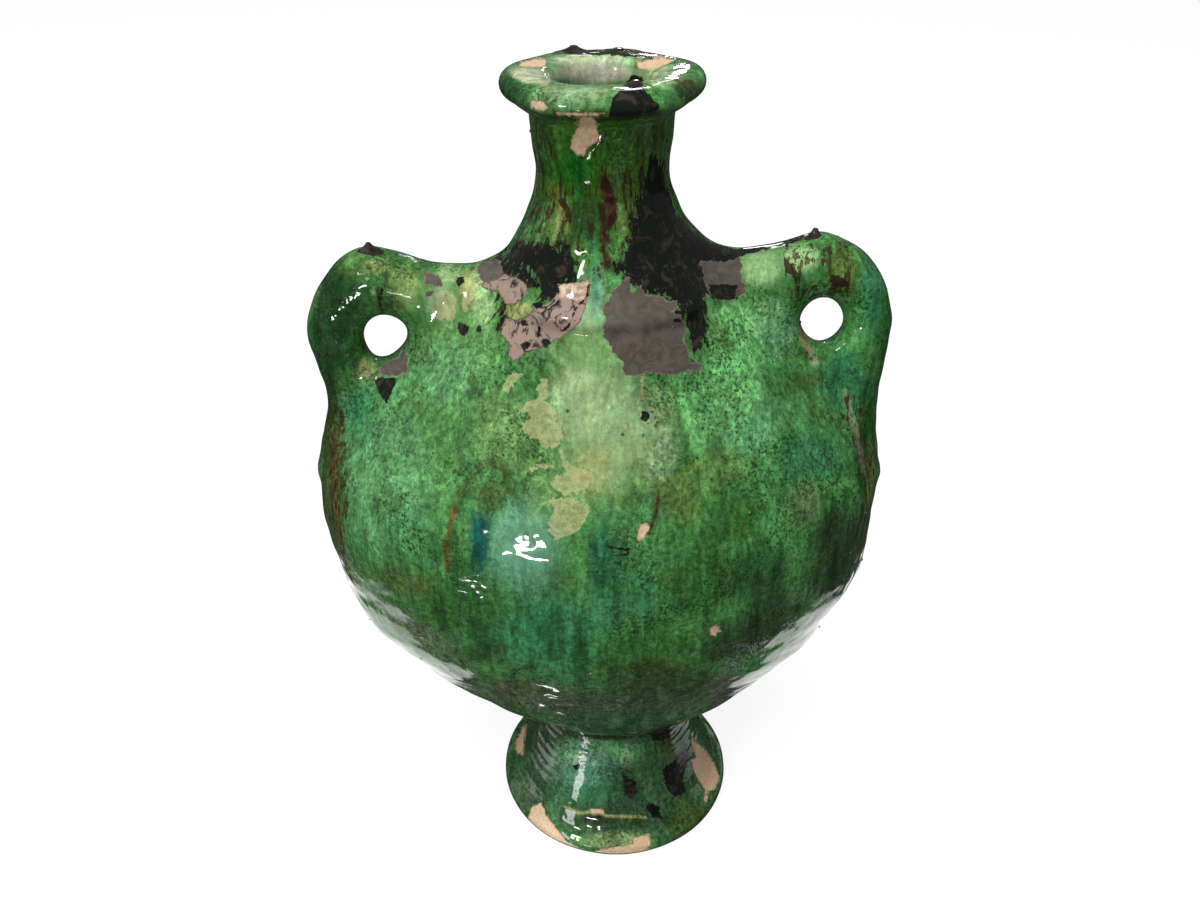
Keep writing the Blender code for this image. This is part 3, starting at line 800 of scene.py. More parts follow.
# Soft areas of tone on the front: colour, middle pixel, half width and height, turn in degrees, strength.
# Some of them paint shade, sheen and highlights, as marked
TONES = (
    # Body, left half
    ("jade", (383, 480), (48, 90), 0, 0.62),
    # Deep and moss bands down the left flank: painted shade where the wall turns away
    ("deep", (330, 410), (9, 60), 0, 0.70),
    ("moss", (332, 500), (14, 110), 0, 0.90),
    ("teal", (358, 415), (14, 30), 0, 0.80),
    ("leaf", (435, 410), (50, 32), 0, 0.15),
    ("leaf", (430, 395), (32, 14), 20, 0.20),
    ("leaf", (440, 472), (30, 34), 0, 0.15),
    ("leaf", (505, 430), (36, 40), 0, 0.80),
    ("forest", (530, 462), (14, 20), 0, 0.50),
    # Painted sheen, pale and cloudy, round the belly's glint
    ("haze_and_sheen", (525, 545), (38, 50), 0, 0.72),
    ("jade", (580, 610), (60, 26), 0, 0.30),
    ("teal", (555, 635), (60, 42), 0, 0.85),
    ("forest", (422, 610), (34, 36), 0, 0.80),
    ("olive", (405, 580), (32, 16), 20, 0.70),
    ("deep", (471, 590), (16, 42), 0, 0.60),
    ("ink", (480, 540), (11, 34), 0, 0.95),
    ("moss", (490, 497), (18, 20), 0, 0.80),
    ("deep", (478, 632), (12, 14), 0, 0.70),
    ("deep", (480, 652), (20, 12), 0, 0.80),
    ("deep", (580, 660), (9, 34), 0, 0.75),
    ("ink", (600, 560), (12, 40), 0, 0.60),
    ("lichen", (545, 697), (80, 16), 8, 0.85),
    ("lichen", (430, 640), (60, 12), 38, 0.50),
    # Body, right half
    # Mist over the right of the belly and up the shoulder: painted sheen, the gloss's pale reflection of a
    # window, over pale glaze
    ("mist_and_sheen", (612, 425), (34, 74), 0, 0.68),
    ("mist_and_sheen", (575, 400), (30, 50), 0, 0.74),
    ("mist_and_sheen", (585, 345), (16, 60), 12, 0.80),
    ("leaf", (560, 480), (40, 46), 0, 0.60),
    ("gold", (592, 470), (22, 26), 0, 0.55),
    # More painted sheen on the belly
    ("mist_and_sheen", (656, 440), (24, 54), 0, 0.55),
    ("bright", (698, 412), (26, 40), 0, 0.85),
    ("jade", (745, 420), (34, 34), 0, 0.85),
    ("forest", (765, 382), (42, 12), 10, 0.30),
    ("moss", (804, 382), (18, 12), 0, 0.60),
    ("teal", (845, 385), (24, 26), 0, 0.90),
    # Deep band down the right flank: painted shade
    ("deep", (866, 450), (12, 66), 0, 0.90),
    ("teal", (810, 455), (36, 30), 0, 0.80),
    ("olive", (722, 470), (30, 24), 0, 0.55),
    ("olive", (684, 500), (24, 30), 0, 0.70),
    ("forest", (736, 512), (34, 34), 0, 0.85),
    ("lichen", (804, 505), (18, 24), 0, 0.55),
    # Dark areas low on the right: painted shade as well as thick glaze
    ("dark", (838, 540), (32, 40), 0, 0.85),
    ("dark", (828, 582), (22, 20), 0, 0.80),
    ("forest", (700, 570), (40, 48), 0, 0.75),
    ("deep", (762, 575), (30, 36), 0, 0.70),
    ("dark", (770, 620), (44, 22), -30, 0.80),
    ("teal", (612, 580), (18, 50), 0, 0.70),
    ("dark", (619, 545), (11, 22), 0, 0.70),
    ("teal", (642, 595), (13, 34), 0, 0.80),
    ("forest", (645, 660), (54, 34), 0, 0.80),
    ("moss", (655, 680), (60, 24), 0, 0.75),
    # Also painted shade, low on the right
    ("dark", (737, 640), (42, 22), -20, 0.80),
    # Grey area low on the right: a painted reflection
    ("grey_reflection", (723, 690), (20, 16), -20, 0.80),
    ("lichen", (650, 705), (60, 14), 0, 0.85),
    # Olive edge down the right flank: painted shade
    ("olive", (871, 485), (6, 46), 0, 0.80),
    # Shoulder
    ("spring", (483, 296), (13, 34), 0, 0.80),
    ("gold", (519, 311), (18, 9), -10, 0.80),
    ("leaf", (585, 352), (40, 22), 0, 0.80),
    ("haze_and_sheen", (596, 296), (8, 30), 0, 0.80),
    ("bright", (738, 350), (34, 50), 0, 0.85),
    ("olive", (724, 321), (16, 18), 0, 0.20),
    ("leaf", (455, 350), (44, 40), 0, 0.45),
    # Left lug
    # Deep areas on the left lug's outer roll: painted shade on its left side, over dark glaze
    ("deep", (328, 318), (24, 74), 0, 0.98),
    ("deep", (345, 300), (26, 34), 20, 0.80),
    ("lichen", (313, 292), (6, 26), 15, 0.80),
    ("olive", (352, 264), (13, 12), -30, 0.40),
    ("gold", (376, 266), (16, 9), 0, 0.45),
    ("gold", (404, 288), (20, 22), 0, 0.38),
    ("deep", (357, 352), (10, 20), 0, 0.80),
    ("deep", (384, 303), (26, 8), 0, 0.50),
    ("jade", (447, 372), (34, 36), 0, 0.50),
    ("pale", (442, 303), (16, 17), 0, 0.40),
    ("spring", (449, 274), (12, 12), 0, 0.85),
    ("gold", (468, 288), (10, 20), 0, 0.80),
    ("gold", (366, 370), (10, 12), 0, 0.60),
    ("teal", (364, 402), (14, 16), 0, 0.80),
    # Right lug
    ("spring", (762, 268), (22, 20), 0, 0.58),
    ("spring", (800, 258), (20, 13), 0, 0.80),
    ("olive", (842, 270), (16, 26), 0, 0.75),
    ("teal", (872, 295), (14, 44), 0, 0.95),
    # Deep edge of the right lug: painted shade
    ("deep", (887, 330), (6, 46), 0, 0.50),
    ("teal", (842, 372), (18, 28), 0, 0.85),
    ("forest", (786, 378), (18, 24), 0, 0.25),
    ("bright", (735, 372), (24, 40), 0, 0.80),
    ("bright", (724, 408), (36, 40), 0, 0.60),
    ("bright", (768, 322), (26, 22), 0, 0.70),
    ("spring", (770, 320), (22, 20), 0, 0.22),
    ("bright", (733, 316), (26, 18), 0, 0.70),
    ("jade", (778, 330), (22, 26), 0, 0.95),
    # Neck
    ("fern", (602, 165), (74, 84), 0, 0.95),
    # Deep area down the neck's left edge: painted shade
    ("deep", (543, 155), (13, 40), 0, 0.45),
    ("emerald", (573, 172), (20, 24), 0, 0.90),
    ("olive", (557, 192), (14, 12), 0, 0.50),
    ("forest", (618, 150), (14, 24), 0, 0.80),
    ("moss", (619, 192), (20, 26), 0, 0.75),
    ("moss", (650, 136), (20, 20), 0, 0.80),
    ("olive", (556, 222), (16, 20), 0, 0.85),
    ("deep", (582, 215), (9, 24), 0, 0.80),
    ("deep", (597, 222), (12, 24), 0, 0.60),
    ("teal", (410, 545), (34, 36), 0, 0.35),
    ("teal", (530, 630), (34, 36), 0, 0.35),
    ("olive", (622, 222), (8, 20), 0, 0.60),
    # Lip
    ("jade", (575, 96), (48, 14), 0, 0.90),
    # Painted sheen on the lip's front
    ("mist_and_sheen", (575, 92), (40, 8), 0, 0.60),
    ("lichen", (572, 99), (42, 12), 0, 0.35),
    ("deep", (507, 92), (18, 24), 0, 0.90),
    # Pale areas on the lip's inner edge and on its back: painted highlights
    ("pale", (530, 74), (20, 8), 10, 0.90),
    ("pale", (590, 60), (46, 6), 0, 0.66),
    ("ash", (594, 73), (44, 10), 0, 0.95),
    ("mist_and_sheen", (664, 76), (22, 12), 0, 0.90),
    ("dark", (688, 90), (16, 14), 0, 0.92),
    # Foot
    ("smoke", (610, 770), (120, 95), 0, 0.95),
    ("deep", (592, 732), (60, 7), 0, 0.50),
    ("jade", (588, 752), (46, 14), 0, 0.95),
    ("spring", (576, 759), (11, 5), 0, 0.80),
    ("teal", (586, 786), (34, 20), 0, 0.55),
    ("haze_and_sheen", (584, 766), (34, 22), 0, 0.55),
    ("spring", (627, 756), (6, 12), 0, 0.35),
    ("smoke", (530, 780), (20, 26), 0, 0.60),
    ("dark", (541, 745), (16, 16), 0, 0.80),
    ("forest", (649, 770), (16, 24), 0, 0.50),
    ("moss", (672, 746), (16, 16), 0, 0.80),
    # Under the foot's ledge: a painted dark reflection where the cove turns away, and painted light on the
    # flare below it
    ("dark", (616, 821), (50, 8), 0, 0.90),
    ("spring", (616, 840), (32, 9), 0, 0.60),
    ("moss", (690, 820), (26, 26), 0, 0.80),
    ("lichen", (524, 795), (12, 16), 0, 0.40),
)

# Streaks on the front: colour, half width in pixels, strength, and the pixels that the streak runs through. A
# few paint highlights, as marked
STREAKS = (
    ("moss", 5.0, 0.75, ((453, 512), (462, 490), (478, 468), (494, 461), (507, 474), (509, 490))),
    ("amber", 2.2, 0.85, ((455, 508), (450, 525), (446, 545), (447, 568))),
    ("deep", 4.0, 0.60, ((456, 560), (454, 590), (457, 625))),
    ("brown", 3.0, 0.50, ((337, 425), (334, 470), (337, 520), (346, 565), (358, 590))),
    ("olive", 5.0, 0.60, ((703, 462), (680, 474), (663, 488), (657, 506))),
    ("rose", 2.4, 0.40, ((845, 392), (850, 412), (858, 440), (864, 470))),
    ("maroon", 2.4, 0.95, ((658, 500), (655, 516), (649, 533))),
    ("rose", 3.5, 0.55, ((800, 330), (806, 345), (815, 362))),
    ("maroon", 1.6, 0.85, ((829, 246), (829, 262), (831, 280))),
    ("maroon", 2.0, 0.80, ((377, 290), (380, 302), (383, 313))),
    # Gold line along the foot's ledge: a painted highlight
    ("gold", 1.3, 0.90, ((565, 807), (579, 813), (592, 812), (608, 816), (646, 817))),
    ("dark", 2.5, 0.85, ((536, 722), (560, 731), (600, 737), (640, 735), (668, 727))),
    ("gold", 1.2, 0.90, ((642, 377), (642, 392), (641, 404))),
    ("amber", 2.0, 0.70, ((555, 188), (556, 200), (562, 214))),
    ("maroon", 4.0, 0.95, ((603, 178), (608, 192), (613, 208), (609, 226))),
    ("maroon", 3.2, 0.90, ((602, 205), (603, 225), (604, 240), (606, 268))),
    ("dark", 2.4, 0.85, ((574, 200), (575, 220), (572, 245))),
    ("dark", 2.2, 0.80, ((561, 215), (560, 232), (556, 250))),
    ("dark", 2.0, 0.80, ((546, 222), (542, 240), (536, 254))),
    ("dark", 2.4, 0.80, ((589, 205), (590, 225), (592, 250))),
    ("lichen", 1.6, 0.60, ((530, 130), (538, 170), (536, 205), (522, 240))),
    ("emerald", 4.0, 0.80, ((578, 152), (580, 175), (578, 196))),
    ("leaf", 2.4, 0.50, ((549, 205), (544, 222), (538, 240))),
    ("gold", 2.0, 0.60, ((561, 204), (559, 222), (555, 240))),
    ("leaf", 1.8, 0.40, ((619, 205), (622, 222), (626, 240))),
    ("teal", 2.6, 0.80, ((592, 235), (594, 262), (597, 300))),
    ("maroon", 3.4, 0.90, ((602, 250), (610, 262), (616, 270))),
    ("black", 3.0, 0.70, ((549, 117), (580, 120), (612, 119), (660, 113))),
    # Pale streak along the lip's inner edge: a painted highlight
    ("pale", 1.4, 0.90, ((515, 76), (526, 80), (538, 82), (548, 82), (549, 74))),
    ("brown", 1.8, 0.70, ((676, 78), (684, 84), (694, 84))),
)

# Crisp areas on the front: what lies there, and the pixels of its edge. The pinkish, pale pink, grey and pale
# cream areas are painted reflections in the gloss
PATCHES = (
    # Pinkish, pale pink and grey areas on the shoulder: painted reflections of the room in the gloss
    ("rose", ((562, 289), (572, 284), (589, 278), (590, 293), (585, 307), (581, 320), (570, 333),
              (560, 338),
              (543, 347), (527, 353), (514, 362), (506, 353), (510, 345), (501, 333), (502, 326),
              (505, 318),
              (516, 320), (528, 316), (535, 307), (545, 304), (554, 300), (560, 293))),
    ("grey_reflection", ((615, 286), (629, 276), (633, 291), (640, 287), (644, 295), (661, 296), (669, 301),
               (677, 299),
               (679, 307), (673, 312), (682, 320), (688, 330), (684, 337), (690, 349), (690, 364),
               (703, 362),
               (700, 370), (677, 375), (658, 374), (648, 371), (638, 377), (625, 376), (621, 364),
               (613, 354),
               (610, 343), (604, 337), (603, 322), (604, 310), (608, 297))),
    ("pool", ((612, 262), (625, 253), (631, 242), (634, 222), (634, 200), (641, 173), (651, 155),
              (659, 159),
               (669, 191), (673, 209), (685, 230), (717, 251), (725, 256), (723, 280), (738, 287),
               (734, 297),
               (719, 297), (707, 293), (703, 299), (705, 326), (707, 349), (690, 354), (688, 330),
               (677, 307),
               (669, 301), (642, 293), (633, 287), (623, 274), (617, 268), (604, 268))),
    ("pool", ((520, 240), (533, 245), (545, 242), (556, 247), (573, 248), (577, 259), (577, 274),
              (573, 281),
              (560, 287), (558, 299), (543, 299), (535, 287), (533, 274), (527, 270), (508, 264),
              (490, 262),
              (505, 252))),
    ("grey_reflection", ((478, 262), (498, 259), (503, 268), (500, 280), (484, 284), (477, 277))),
    ("pool", ((498, 258), (515, 260), (531, 266), (536, 282), (524, 281), (514, 277), (500, 280))),
    ("rose", ((478, 286), (484, 280), (497, 277), (505, 274), (512, 276), (520, 279), (527, 284),
              (528, 293),
              (521, 301), (513, 305), (506, 305), (502, 299), (497, 291), (488, 290))),
    ("pool", ((494, 292), (500, 296), (508, 308), (506, 320), (501, 330), (497, 318), (502, 306))),
    ("pale_pink_reflection", ((557, 285), (566, 284), (575, 283), (584, 281), (589, 282), (588, 292), (584, 302),
               (577, 302),
               (570, 299), (561, 299), (554, 300), (560, 291))),
    ("black", ((533, 284), (538, 282), (541, 286), (537, 289))),
    ("black", ((532, 304), (540, 302), (544, 305), (538, 310))),
    ("black", ((520, 321), (526, 319), (529, 324), (523, 328))),
    ("black", ((520, 344), (528, 340), (531, 346), (524, 351))),
    ("black", ((542, 340), (549, 338), (551, 344), (545, 348))),
    ("black", ((537, 328), (541, 325), (541, 335), (538, 337))),
    ("black", ((500, 316), (504, 318), (503, 324), (500, 322))),
    ("black", ((632, 75), (643, 78), (643, 87), (651, 96), (659, 107), (653, 116), (637, 118), (619, 119),
               (609, 118), (610, 105), (619, 91), (625, 84))),
    ("black", ((562, 53), (576, 44), (587, 50), (603, 51), (619, 44), (641, 47), (668, 53), (675, 57),
               (659, 59),
               (634, 57), (609, 55), (590, 55))),
    # Pale cream area on the lip's inner edge: a painted highlight
    ("pale_reflection", ((512, 70), (516, 78), (528, 83), (547, 85), (551, 78), (546, 72), (548, 81), (530, 80),
               (518, 75))),
    ("bare", ((517, 63), (534, 57), (546, 59), (546, 66), (534, 67), (519, 66))),
    ("bare", ((635, 62), (651, 57), (666, 56), (675, 60), (666, 64), (651, 71), (639, 69))),
    ("bare", ((528, 101), (541, 100), (551, 110), (543, 112), (532, 109))),
    ("bare", ((551, 113), (580, 112), (605, 113), (605, 116), (580, 117), (555, 115))),
    ("bare", ((580, 117), (594, 117), (599, 134), (596, 144), (587, 148), (583, 157), (576, 156),
              (571, 150),
              (572, 137), (578, 126))),
    ("bare", ((528, 723), (524, 743), (523, 757), (514, 749), (517, 738), (522, 727))),
    ("bare", ((541, 802), (546, 814), (557, 829), (567, 841), (586, 851), (592, 856), (576, 854),
              (555, 848),
              (535, 832), (527, 818), (532, 806))),
    ("bare", ((589, 851), (617, 847), (632, 843), (633, 837), (649, 834), (651, 843), (646, 858),
              (617, 860),
              (592, 860))),
    ("bare", ((691, 736), (702, 746), (712, 757), (720, 776), (716, 789), (708, 792), (707, 803),
              (704, 802),
              (704, 789), (696, 776), (691, 760), (696, 757), (692, 744))),
    ("bare", ((589, 809), (602, 808), (605, 814), (592, 815))),
    ("bare", ((709, 628), (716, 625), (722, 630), (717, 636), (710, 635))),
    ("bare", ((636, 535), (641, 524), (648, 522), (650, 530), (642, 540), (637, 541))),
    ("black", ((622, 770), (629, 779), (637, 781), (637, 792), (630, 800), (625, 794), (623, 779))),
    ("black", ((662, 770), (678, 757), (688, 747), (689, 760), (683, 776), (685, 792), (675, 797),
               (667, 789))),
    ("black", ((645, 802), (659, 806), (661, 818), (651, 818))),
    ("black", ((571, 765), (581, 764), (582, 768), (576, 770))),
    ("black", ((649, 733), (662, 728), (673, 722), (670, 738), (653, 741))),
    # Grey areas on the lugs and the right shoulder: painted reflections too
    ("grey_reflection", ((422, 271), (431, 269), (442, 277), (444, 285), (435, 285), (425, 284))),
    ("black", ((456, 278), (464, 276), (465, 284), (457, 286))),
    ("grey_reflection", ((424, 290), (433, 289), (433, 295), (425, 296))),
    ("grey_reflection", ((376, 368), (392, 360), (404, 352), (409, 356), (407, 371), (399, 378), (379, 375))),
    ("black", ((376, 377), (397, 378), (393, 389), (387, 404), (379, 393), (375, 383))),
    ("grey_reflection", ((700, 262), (723, 256), (742, 256), (742, 281), (747, 291), (732, 302), (722, 299),
               (708, 296))),
    ("black", ((709, 284), (737, 285), (735, 300), (712, 299))),
    ("brown", ((602, 177), (606, 173), (611, 186), (617, 200), (616, 216), (611, 228), (607, 222),
               (608, 208),
               (604, 196), (599, 188))),
    ("brown", ((561, 196), (566, 203), (571, 211), (572, 224), (568, 222), (564, 211), (558, 203))),
    ("brown", ((783, 256), (794, 266), (798, 274), (800, 290), (796, 291), (794, 277), (785, 271))),
    ("brown", ((829, 277), (839, 274), (847, 281), (848, 289), (839, 286), (833, 297), (825, 295),
               (831, 286))),
    ("black", ((728, 252), (755, 246), (789, 240), (802, 235), (805, 240), (782, 246), (751, 253),
               (736, 257))),
    ("black", ((676, 212), (690, 228), (712, 243), (738, 250), (745, 255), (724, 262), (704, 260),
               (692, 248),
               (682, 234))),
    ("iron", ((533, 190), (556, 180), (578, 190), (600, 168), (622, 172), (640, 185), (634, 250),
              (600, 275),
              (588, 262), (560, 250), (530, 246), (518, 244))),
    ("iron", ((783, 243), (850, 243), (850, 298), (825, 304), (783, 292))),
    ("iron", ((826, 380), (850, 385), (872, 440), (876, 560), (858, 590), (862, 480))),
    ("iron", ((326, 400), (345, 420), (346, 540), (362, 600), (345, 590), (330, 500))),
    ("iron", ((530, 118), (556, 122), (545, 170), (532, 175))),
    ("black", ((642, 411), (648, 411), (650, 417), (646, 423), (641, 418))),
    ("black", ((673, 319), (679, 318), (681, 322), (675, 323))),
    # Pale cream areas on the belly and by the left lug: painted reflection of a window in the gloss
    ("pale_reflection", ((543, 375), (548, 377), (548, 391), (546, 400), (552, 409), (558, 414), (557, 422),
               (560, 429),
               (563, 437), (561, 445), (555, 449), (546, 447), (538, 441), (531, 437), (524, 431),
               (523, 426),
               (529, 418), (528, 412), (517, 415), (505, 420), (497, 418), (508, 416), (518, 411),
               (526, 405),
               (531, 399), (540, 397), (538, 391), (533, 390), (538, 385))),
    ("pale_reflection", ((561, 448), (566, 456), (569, 465), (574, 468), (581, 466), (590, 472), (596, 480),
               (590, 488),
               (583, 490), (575, 493), (563, 498), (561, 492), (552, 483), (554, 475), (561, 477),
               (566, 471),
               (561, 461), (557, 452))),
    ("pale_reflection", ((505, 378), (517, 373), (526, 375), (517, 379), (512, 386), (509, 393), (502, 391),
               (504, 385))),
    ("pale_reflection", ((549, 500), (563, 497), (580, 500), (588, 504), (589, 514), (583, 524), (572, 534),
               (556, 540),
               (548, 532), (549, 520), (556, 512))),
    ("pale_reflection", ((621, 421), (626, 420), (628, 427), (624, 432), (621, 428))),
    ("pale_reflection", ((566, 401), (571, 401), (572, 405), (567, 406))),
    ("pale_reflection", ((437, 292), (446, 291), (455, 297), (458, 309), (454, 320), (447, 322), (440, 312),
               (436, 302))),
    ("pale_reflection", ((421, 303), (432, 306), (440, 314), (446, 323), (456, 326), (450, 329), (440, 322),
               (431, 312))),
    ("pale_reflection", ((470, 275), (476, 285), (472, 300), (465, 312), (461, 306), (466, 290))),
    ("black", ((458, 322), (466, 324), (470, 331), (464, 336), (457, 330))),
    ("black", ((477, 325), (482, 326), (481, 332), (476, 331))),
)

# Thin crisp lines on the front: what lies there, half width in pixels, and the pixels that it runs through.
# The pale cream lines are painted reflections
LINES = (
    ("black", 1.3, ((589, 285), (588, 295), (583, 301), (577, 306), (573, 315), (568, 327), (563, 331))),
    ("black", 1.2, ((563, 331), (556, 325), (552, 319))),
    ("black", 1.2, ((382, 287), (380, 298), (381, 312))),
    ("iron", 2.4, ((829, 243), (829, 262), (831, 285))),
    ("iron", 3.0, ((787, 256), (792, 268), (797, 292))),
    ("pale_reflection", 1.2, ((357, 273), (365, 276), (371, 285), (372, 292))),
    ("pale_reflection", 1.2, ((530, 470), (540, 466), (552, 466))),
    ("pale_reflection", 1.2, ((642, 375), (643, 384))),
    ("black", 1.4, ((606, 546), (618, 549), (632, 550))),
    ("black", 1.2, ((608, 553), (620, 556), (630, 553))),
    ("black", 1.4, ((658, 166), (661, 190), (668, 215))),
)
# The pinkish, pale pink, grey and pale cream kinds are painted reflections; the rest are the glaze's own
# marks and bare clay
PATCH_KINDS = ("bare", "black", "pool", "grey_reflection", "rose", "pale_pink_reflection", "brown", "iron", "pale_reflection")
BACK_KINDS = ("black", "pool", "grey_reflection", "brown", "iron", "pale_reflection")

# Calm areas on the front, with few specks: middle pixel, and half width and height
CALM = (
    ((600, 420), (50, 90)),
    ((585, 350), (24, 70)),
    ((530, 545), (40, 40)),
    ((776, 262), (40, 24)),
    ((590, 72), (60, 20)),
    ((530, 74), (24, 10)),
    ((440, 300), (40, 30)),
)

# Uneven areas on the front, where the glaze set in small lumps: middle pixel, and half width and height
LUMPY = (
    ((338, 298), (22, 27)),
    ((422, 316), (10, 9)),
    ((846, 338), (12, 12)),
)

# Dull areas on the front, where the gloss has worn: middle pixel, and half width and height
DULL = (
    ((520, 750), (20, 44)),
    ((698, 752), (28, 50)),
    ((655, 825), (40, 30)),
    ((594, 150), (9, 22)),
    ((590, 184), (8, 8)),
    ((636, 86), (44, 10)),
    ((396, 294), (17, 9)),
    ((580, 330), (14, 7)),
)

# How softly the painting ends: towards the sides, at a soft area's edge, along a streak and at bare clay
SIDE_FADE = 0.12
OVAL_EDGE = (1.35, 0.9)
STREAK_EDGE = (1.7, 1.4)
BARE_EDGE = (0.2, 0.5)

# How far an area's edge is followed, in mm, how deep bare clay lies, and where the bore drops out of sight
PATCH_REACH = 8.0
BARE_DEPTH = 0.00045
BORE_LIMIT = 0.0235
MOUTH_LOWEST = 88.0


def facing_camera(places, normals):
    """How squarely each place faces the photograph's camera, 0 to 1."""
    towards = np.array(CAMERA_PLACE) - places
    towards /= np.linalg.norm(towards, axis=1)[:, None]
    return smoothstep((normals * towards).sum(axis=1) / SIDE_FADE)


def deep_in_bore(places, down):
    """Whether each point is on the bore's wall below what the mouth lets be seen."""
    radius = np.hypot(places[:, 0] - lean(places[:, 2]), places[:, 1])
    return (radius < BORE_LIMIT) & (down > MOUTH_LOWEST)


def soft_oval(right, down, middle, half, turn):
    """1 in the middle of an oval, easing to 0 just outside it."""
    cosine, sine = math.cos(math.radians(turn)), math.sin(math.radians(turn))
    across, along = right - middle[0], down - middle[1]
    u = (across * cosine + along * sine) / half[0]
    v = (-across * sine + along * cosine) / half[1]
    return smoothstep((OVAL_EDGE[0] - np.hypot(u, v)) / OVAL_EDGE[1])


def line_distance(right, down, line):
    """How far each pixel lies from a broken line."""
    nearest = np.full(right.shape, np.inf)
    for (x0, y0), (x1, y1) in zip(line, line[1:]):
        across, along = x1 - x0, y1 - y0
        share = np.clip(((right - x0) * across + (down - y0) * along) / (across**2 + along**2), 0.0, 1.0)
        nearest = np.minimum(nearest, np.hypot(right - x0 - share * across, down - y0 - share * along))
    return nearest


def paint_tone(tone, right, down, seen, colours):
    """Lay the soft areas and the streaks over a tone, as strongly as each point is seen; some of them are
    painted shade, sheen and highlights.
    """
    for name, middle, half, turn, strength in TONES:
        share = strength * soft_oval(right, down, middle, half, turn) * seen
        tone += (np.array(colours[name]) - tone) * share[:, None]
    for name, half, strength, line in STREAKS:
        away = line_distance(right, down, line) / half
        share = strength * smoothstep((STREAK_EDGE[0] - away) / STREAK_EDGE[1]) * seen
        tone += (np.array(colours[name]) - tone) * share[:, None]


def paint_patches(levels, right, down, seen, kinds):
    """Write how deep each seen point lies inside the crisp areas of some kinds, in mm."""
    reach = PATCH_REACH * PIXELS_PER_MM
    areas = [(kind, None, edge) for kind, edge in PATCHES] + list(LINES)
    for kind, half, edge in areas:
        if kind not in kinds:
            continue
        low, high = np.min(edge, axis=0) - reach, np.max(edge, axis=0) + reach
        near = (right > low[0]) & (right < high[0]) & (down > low[1]) & (down < high[1]) & (seen > 0.0)
        if half is None:
            inside = -outline_distance(right[near], down[near], list(edge)) / PIXELS_PER_MM
        else:
            inside = (half - line_distance(right[near], down[near], edge)) / PIXELS_PER_MM
        level = np.maximum(inside, -PATCH_REACH) * seen[near] - PATCH_REACH * (1.0 - seen[near])
        levels[kind][near] = np.maximum(levels[kind][near], level)


def paint(mesh, normals, colours):
    """Write the glaze's tone, and how deep each point lies inside bare, black and other areas, in mm."""
    places = vertex_places(mesh)
    right, down = photo_pixels(places)
    seen = facing_camera(places, normals)
    turn = np.array((-1.0, -1.0, 1.0))
    back_right, back_down = photo_pixels(places * turn)
    back_seen = (1.0 - seen) * facing_camera(places * turn, normals * turn)
    seen = np.where(deep_in_bore(places, down), 0.0, seen)
    back_seen = np.where(deep_in_bore(places, back_down), 0.0, back_seen)
    tone = np.tile(np.array(colours["mid"]), (len(places), 1))
    paint_tone(tone, back_right, back_down, back_seen, colours)
    paint_tone(tone, right, down, seen, colours)
    levels = {kind: np.full(len(places), -PATCH_REACH) for kind in PATCH_KINDS}
    paint_patches(levels, back_right, back_down, back_seen, BACK_KINDS)
    paint_patches(levels, right, down, seen, PATCH_KINDS)
    write_attribute(mesh, "tone", "FLOAT_COLOR", np.column_stack((tone, np.ones(len(places)))))
    for name, areas in (("calm", CALM), ("lumpy", LUMPY), ("dull", DULL)):
        share = np.zeros(len(places))
        for middle, half in areas:
            share = np.maximum(share, soft_oval(right, down, middle, half, 0) * seen)
        write_attribute(mesh, name, "FLOAT", share)
    for kind, level in levels.items():
        write_attribute(mesh, kind, "FLOAT", level)
    sunk = BARE_DEPTH * smoothstep((levels["bare"] + BARE_EDGE[0]) / BARE_EDGE[1])
    place_vertices(mesh, places - normals * sunk[:, None])


def write_attribute(mesh, name, kind, values):
    attribute = mesh.attributes.get(name) or mesh.attributes.new(name, kind, "POINT")
    field = "color" if kind == "FLOAT_COLOR" else "value"
    attribute.data.foreach_set(field, np.ascontiguousarray(values, dtype=np.float32).ravel())


WHITE = (1.0, 1.0, 1.0, 1.0)
NO_COLOUR = (0.0, 0.0, 0.0, 1.0)


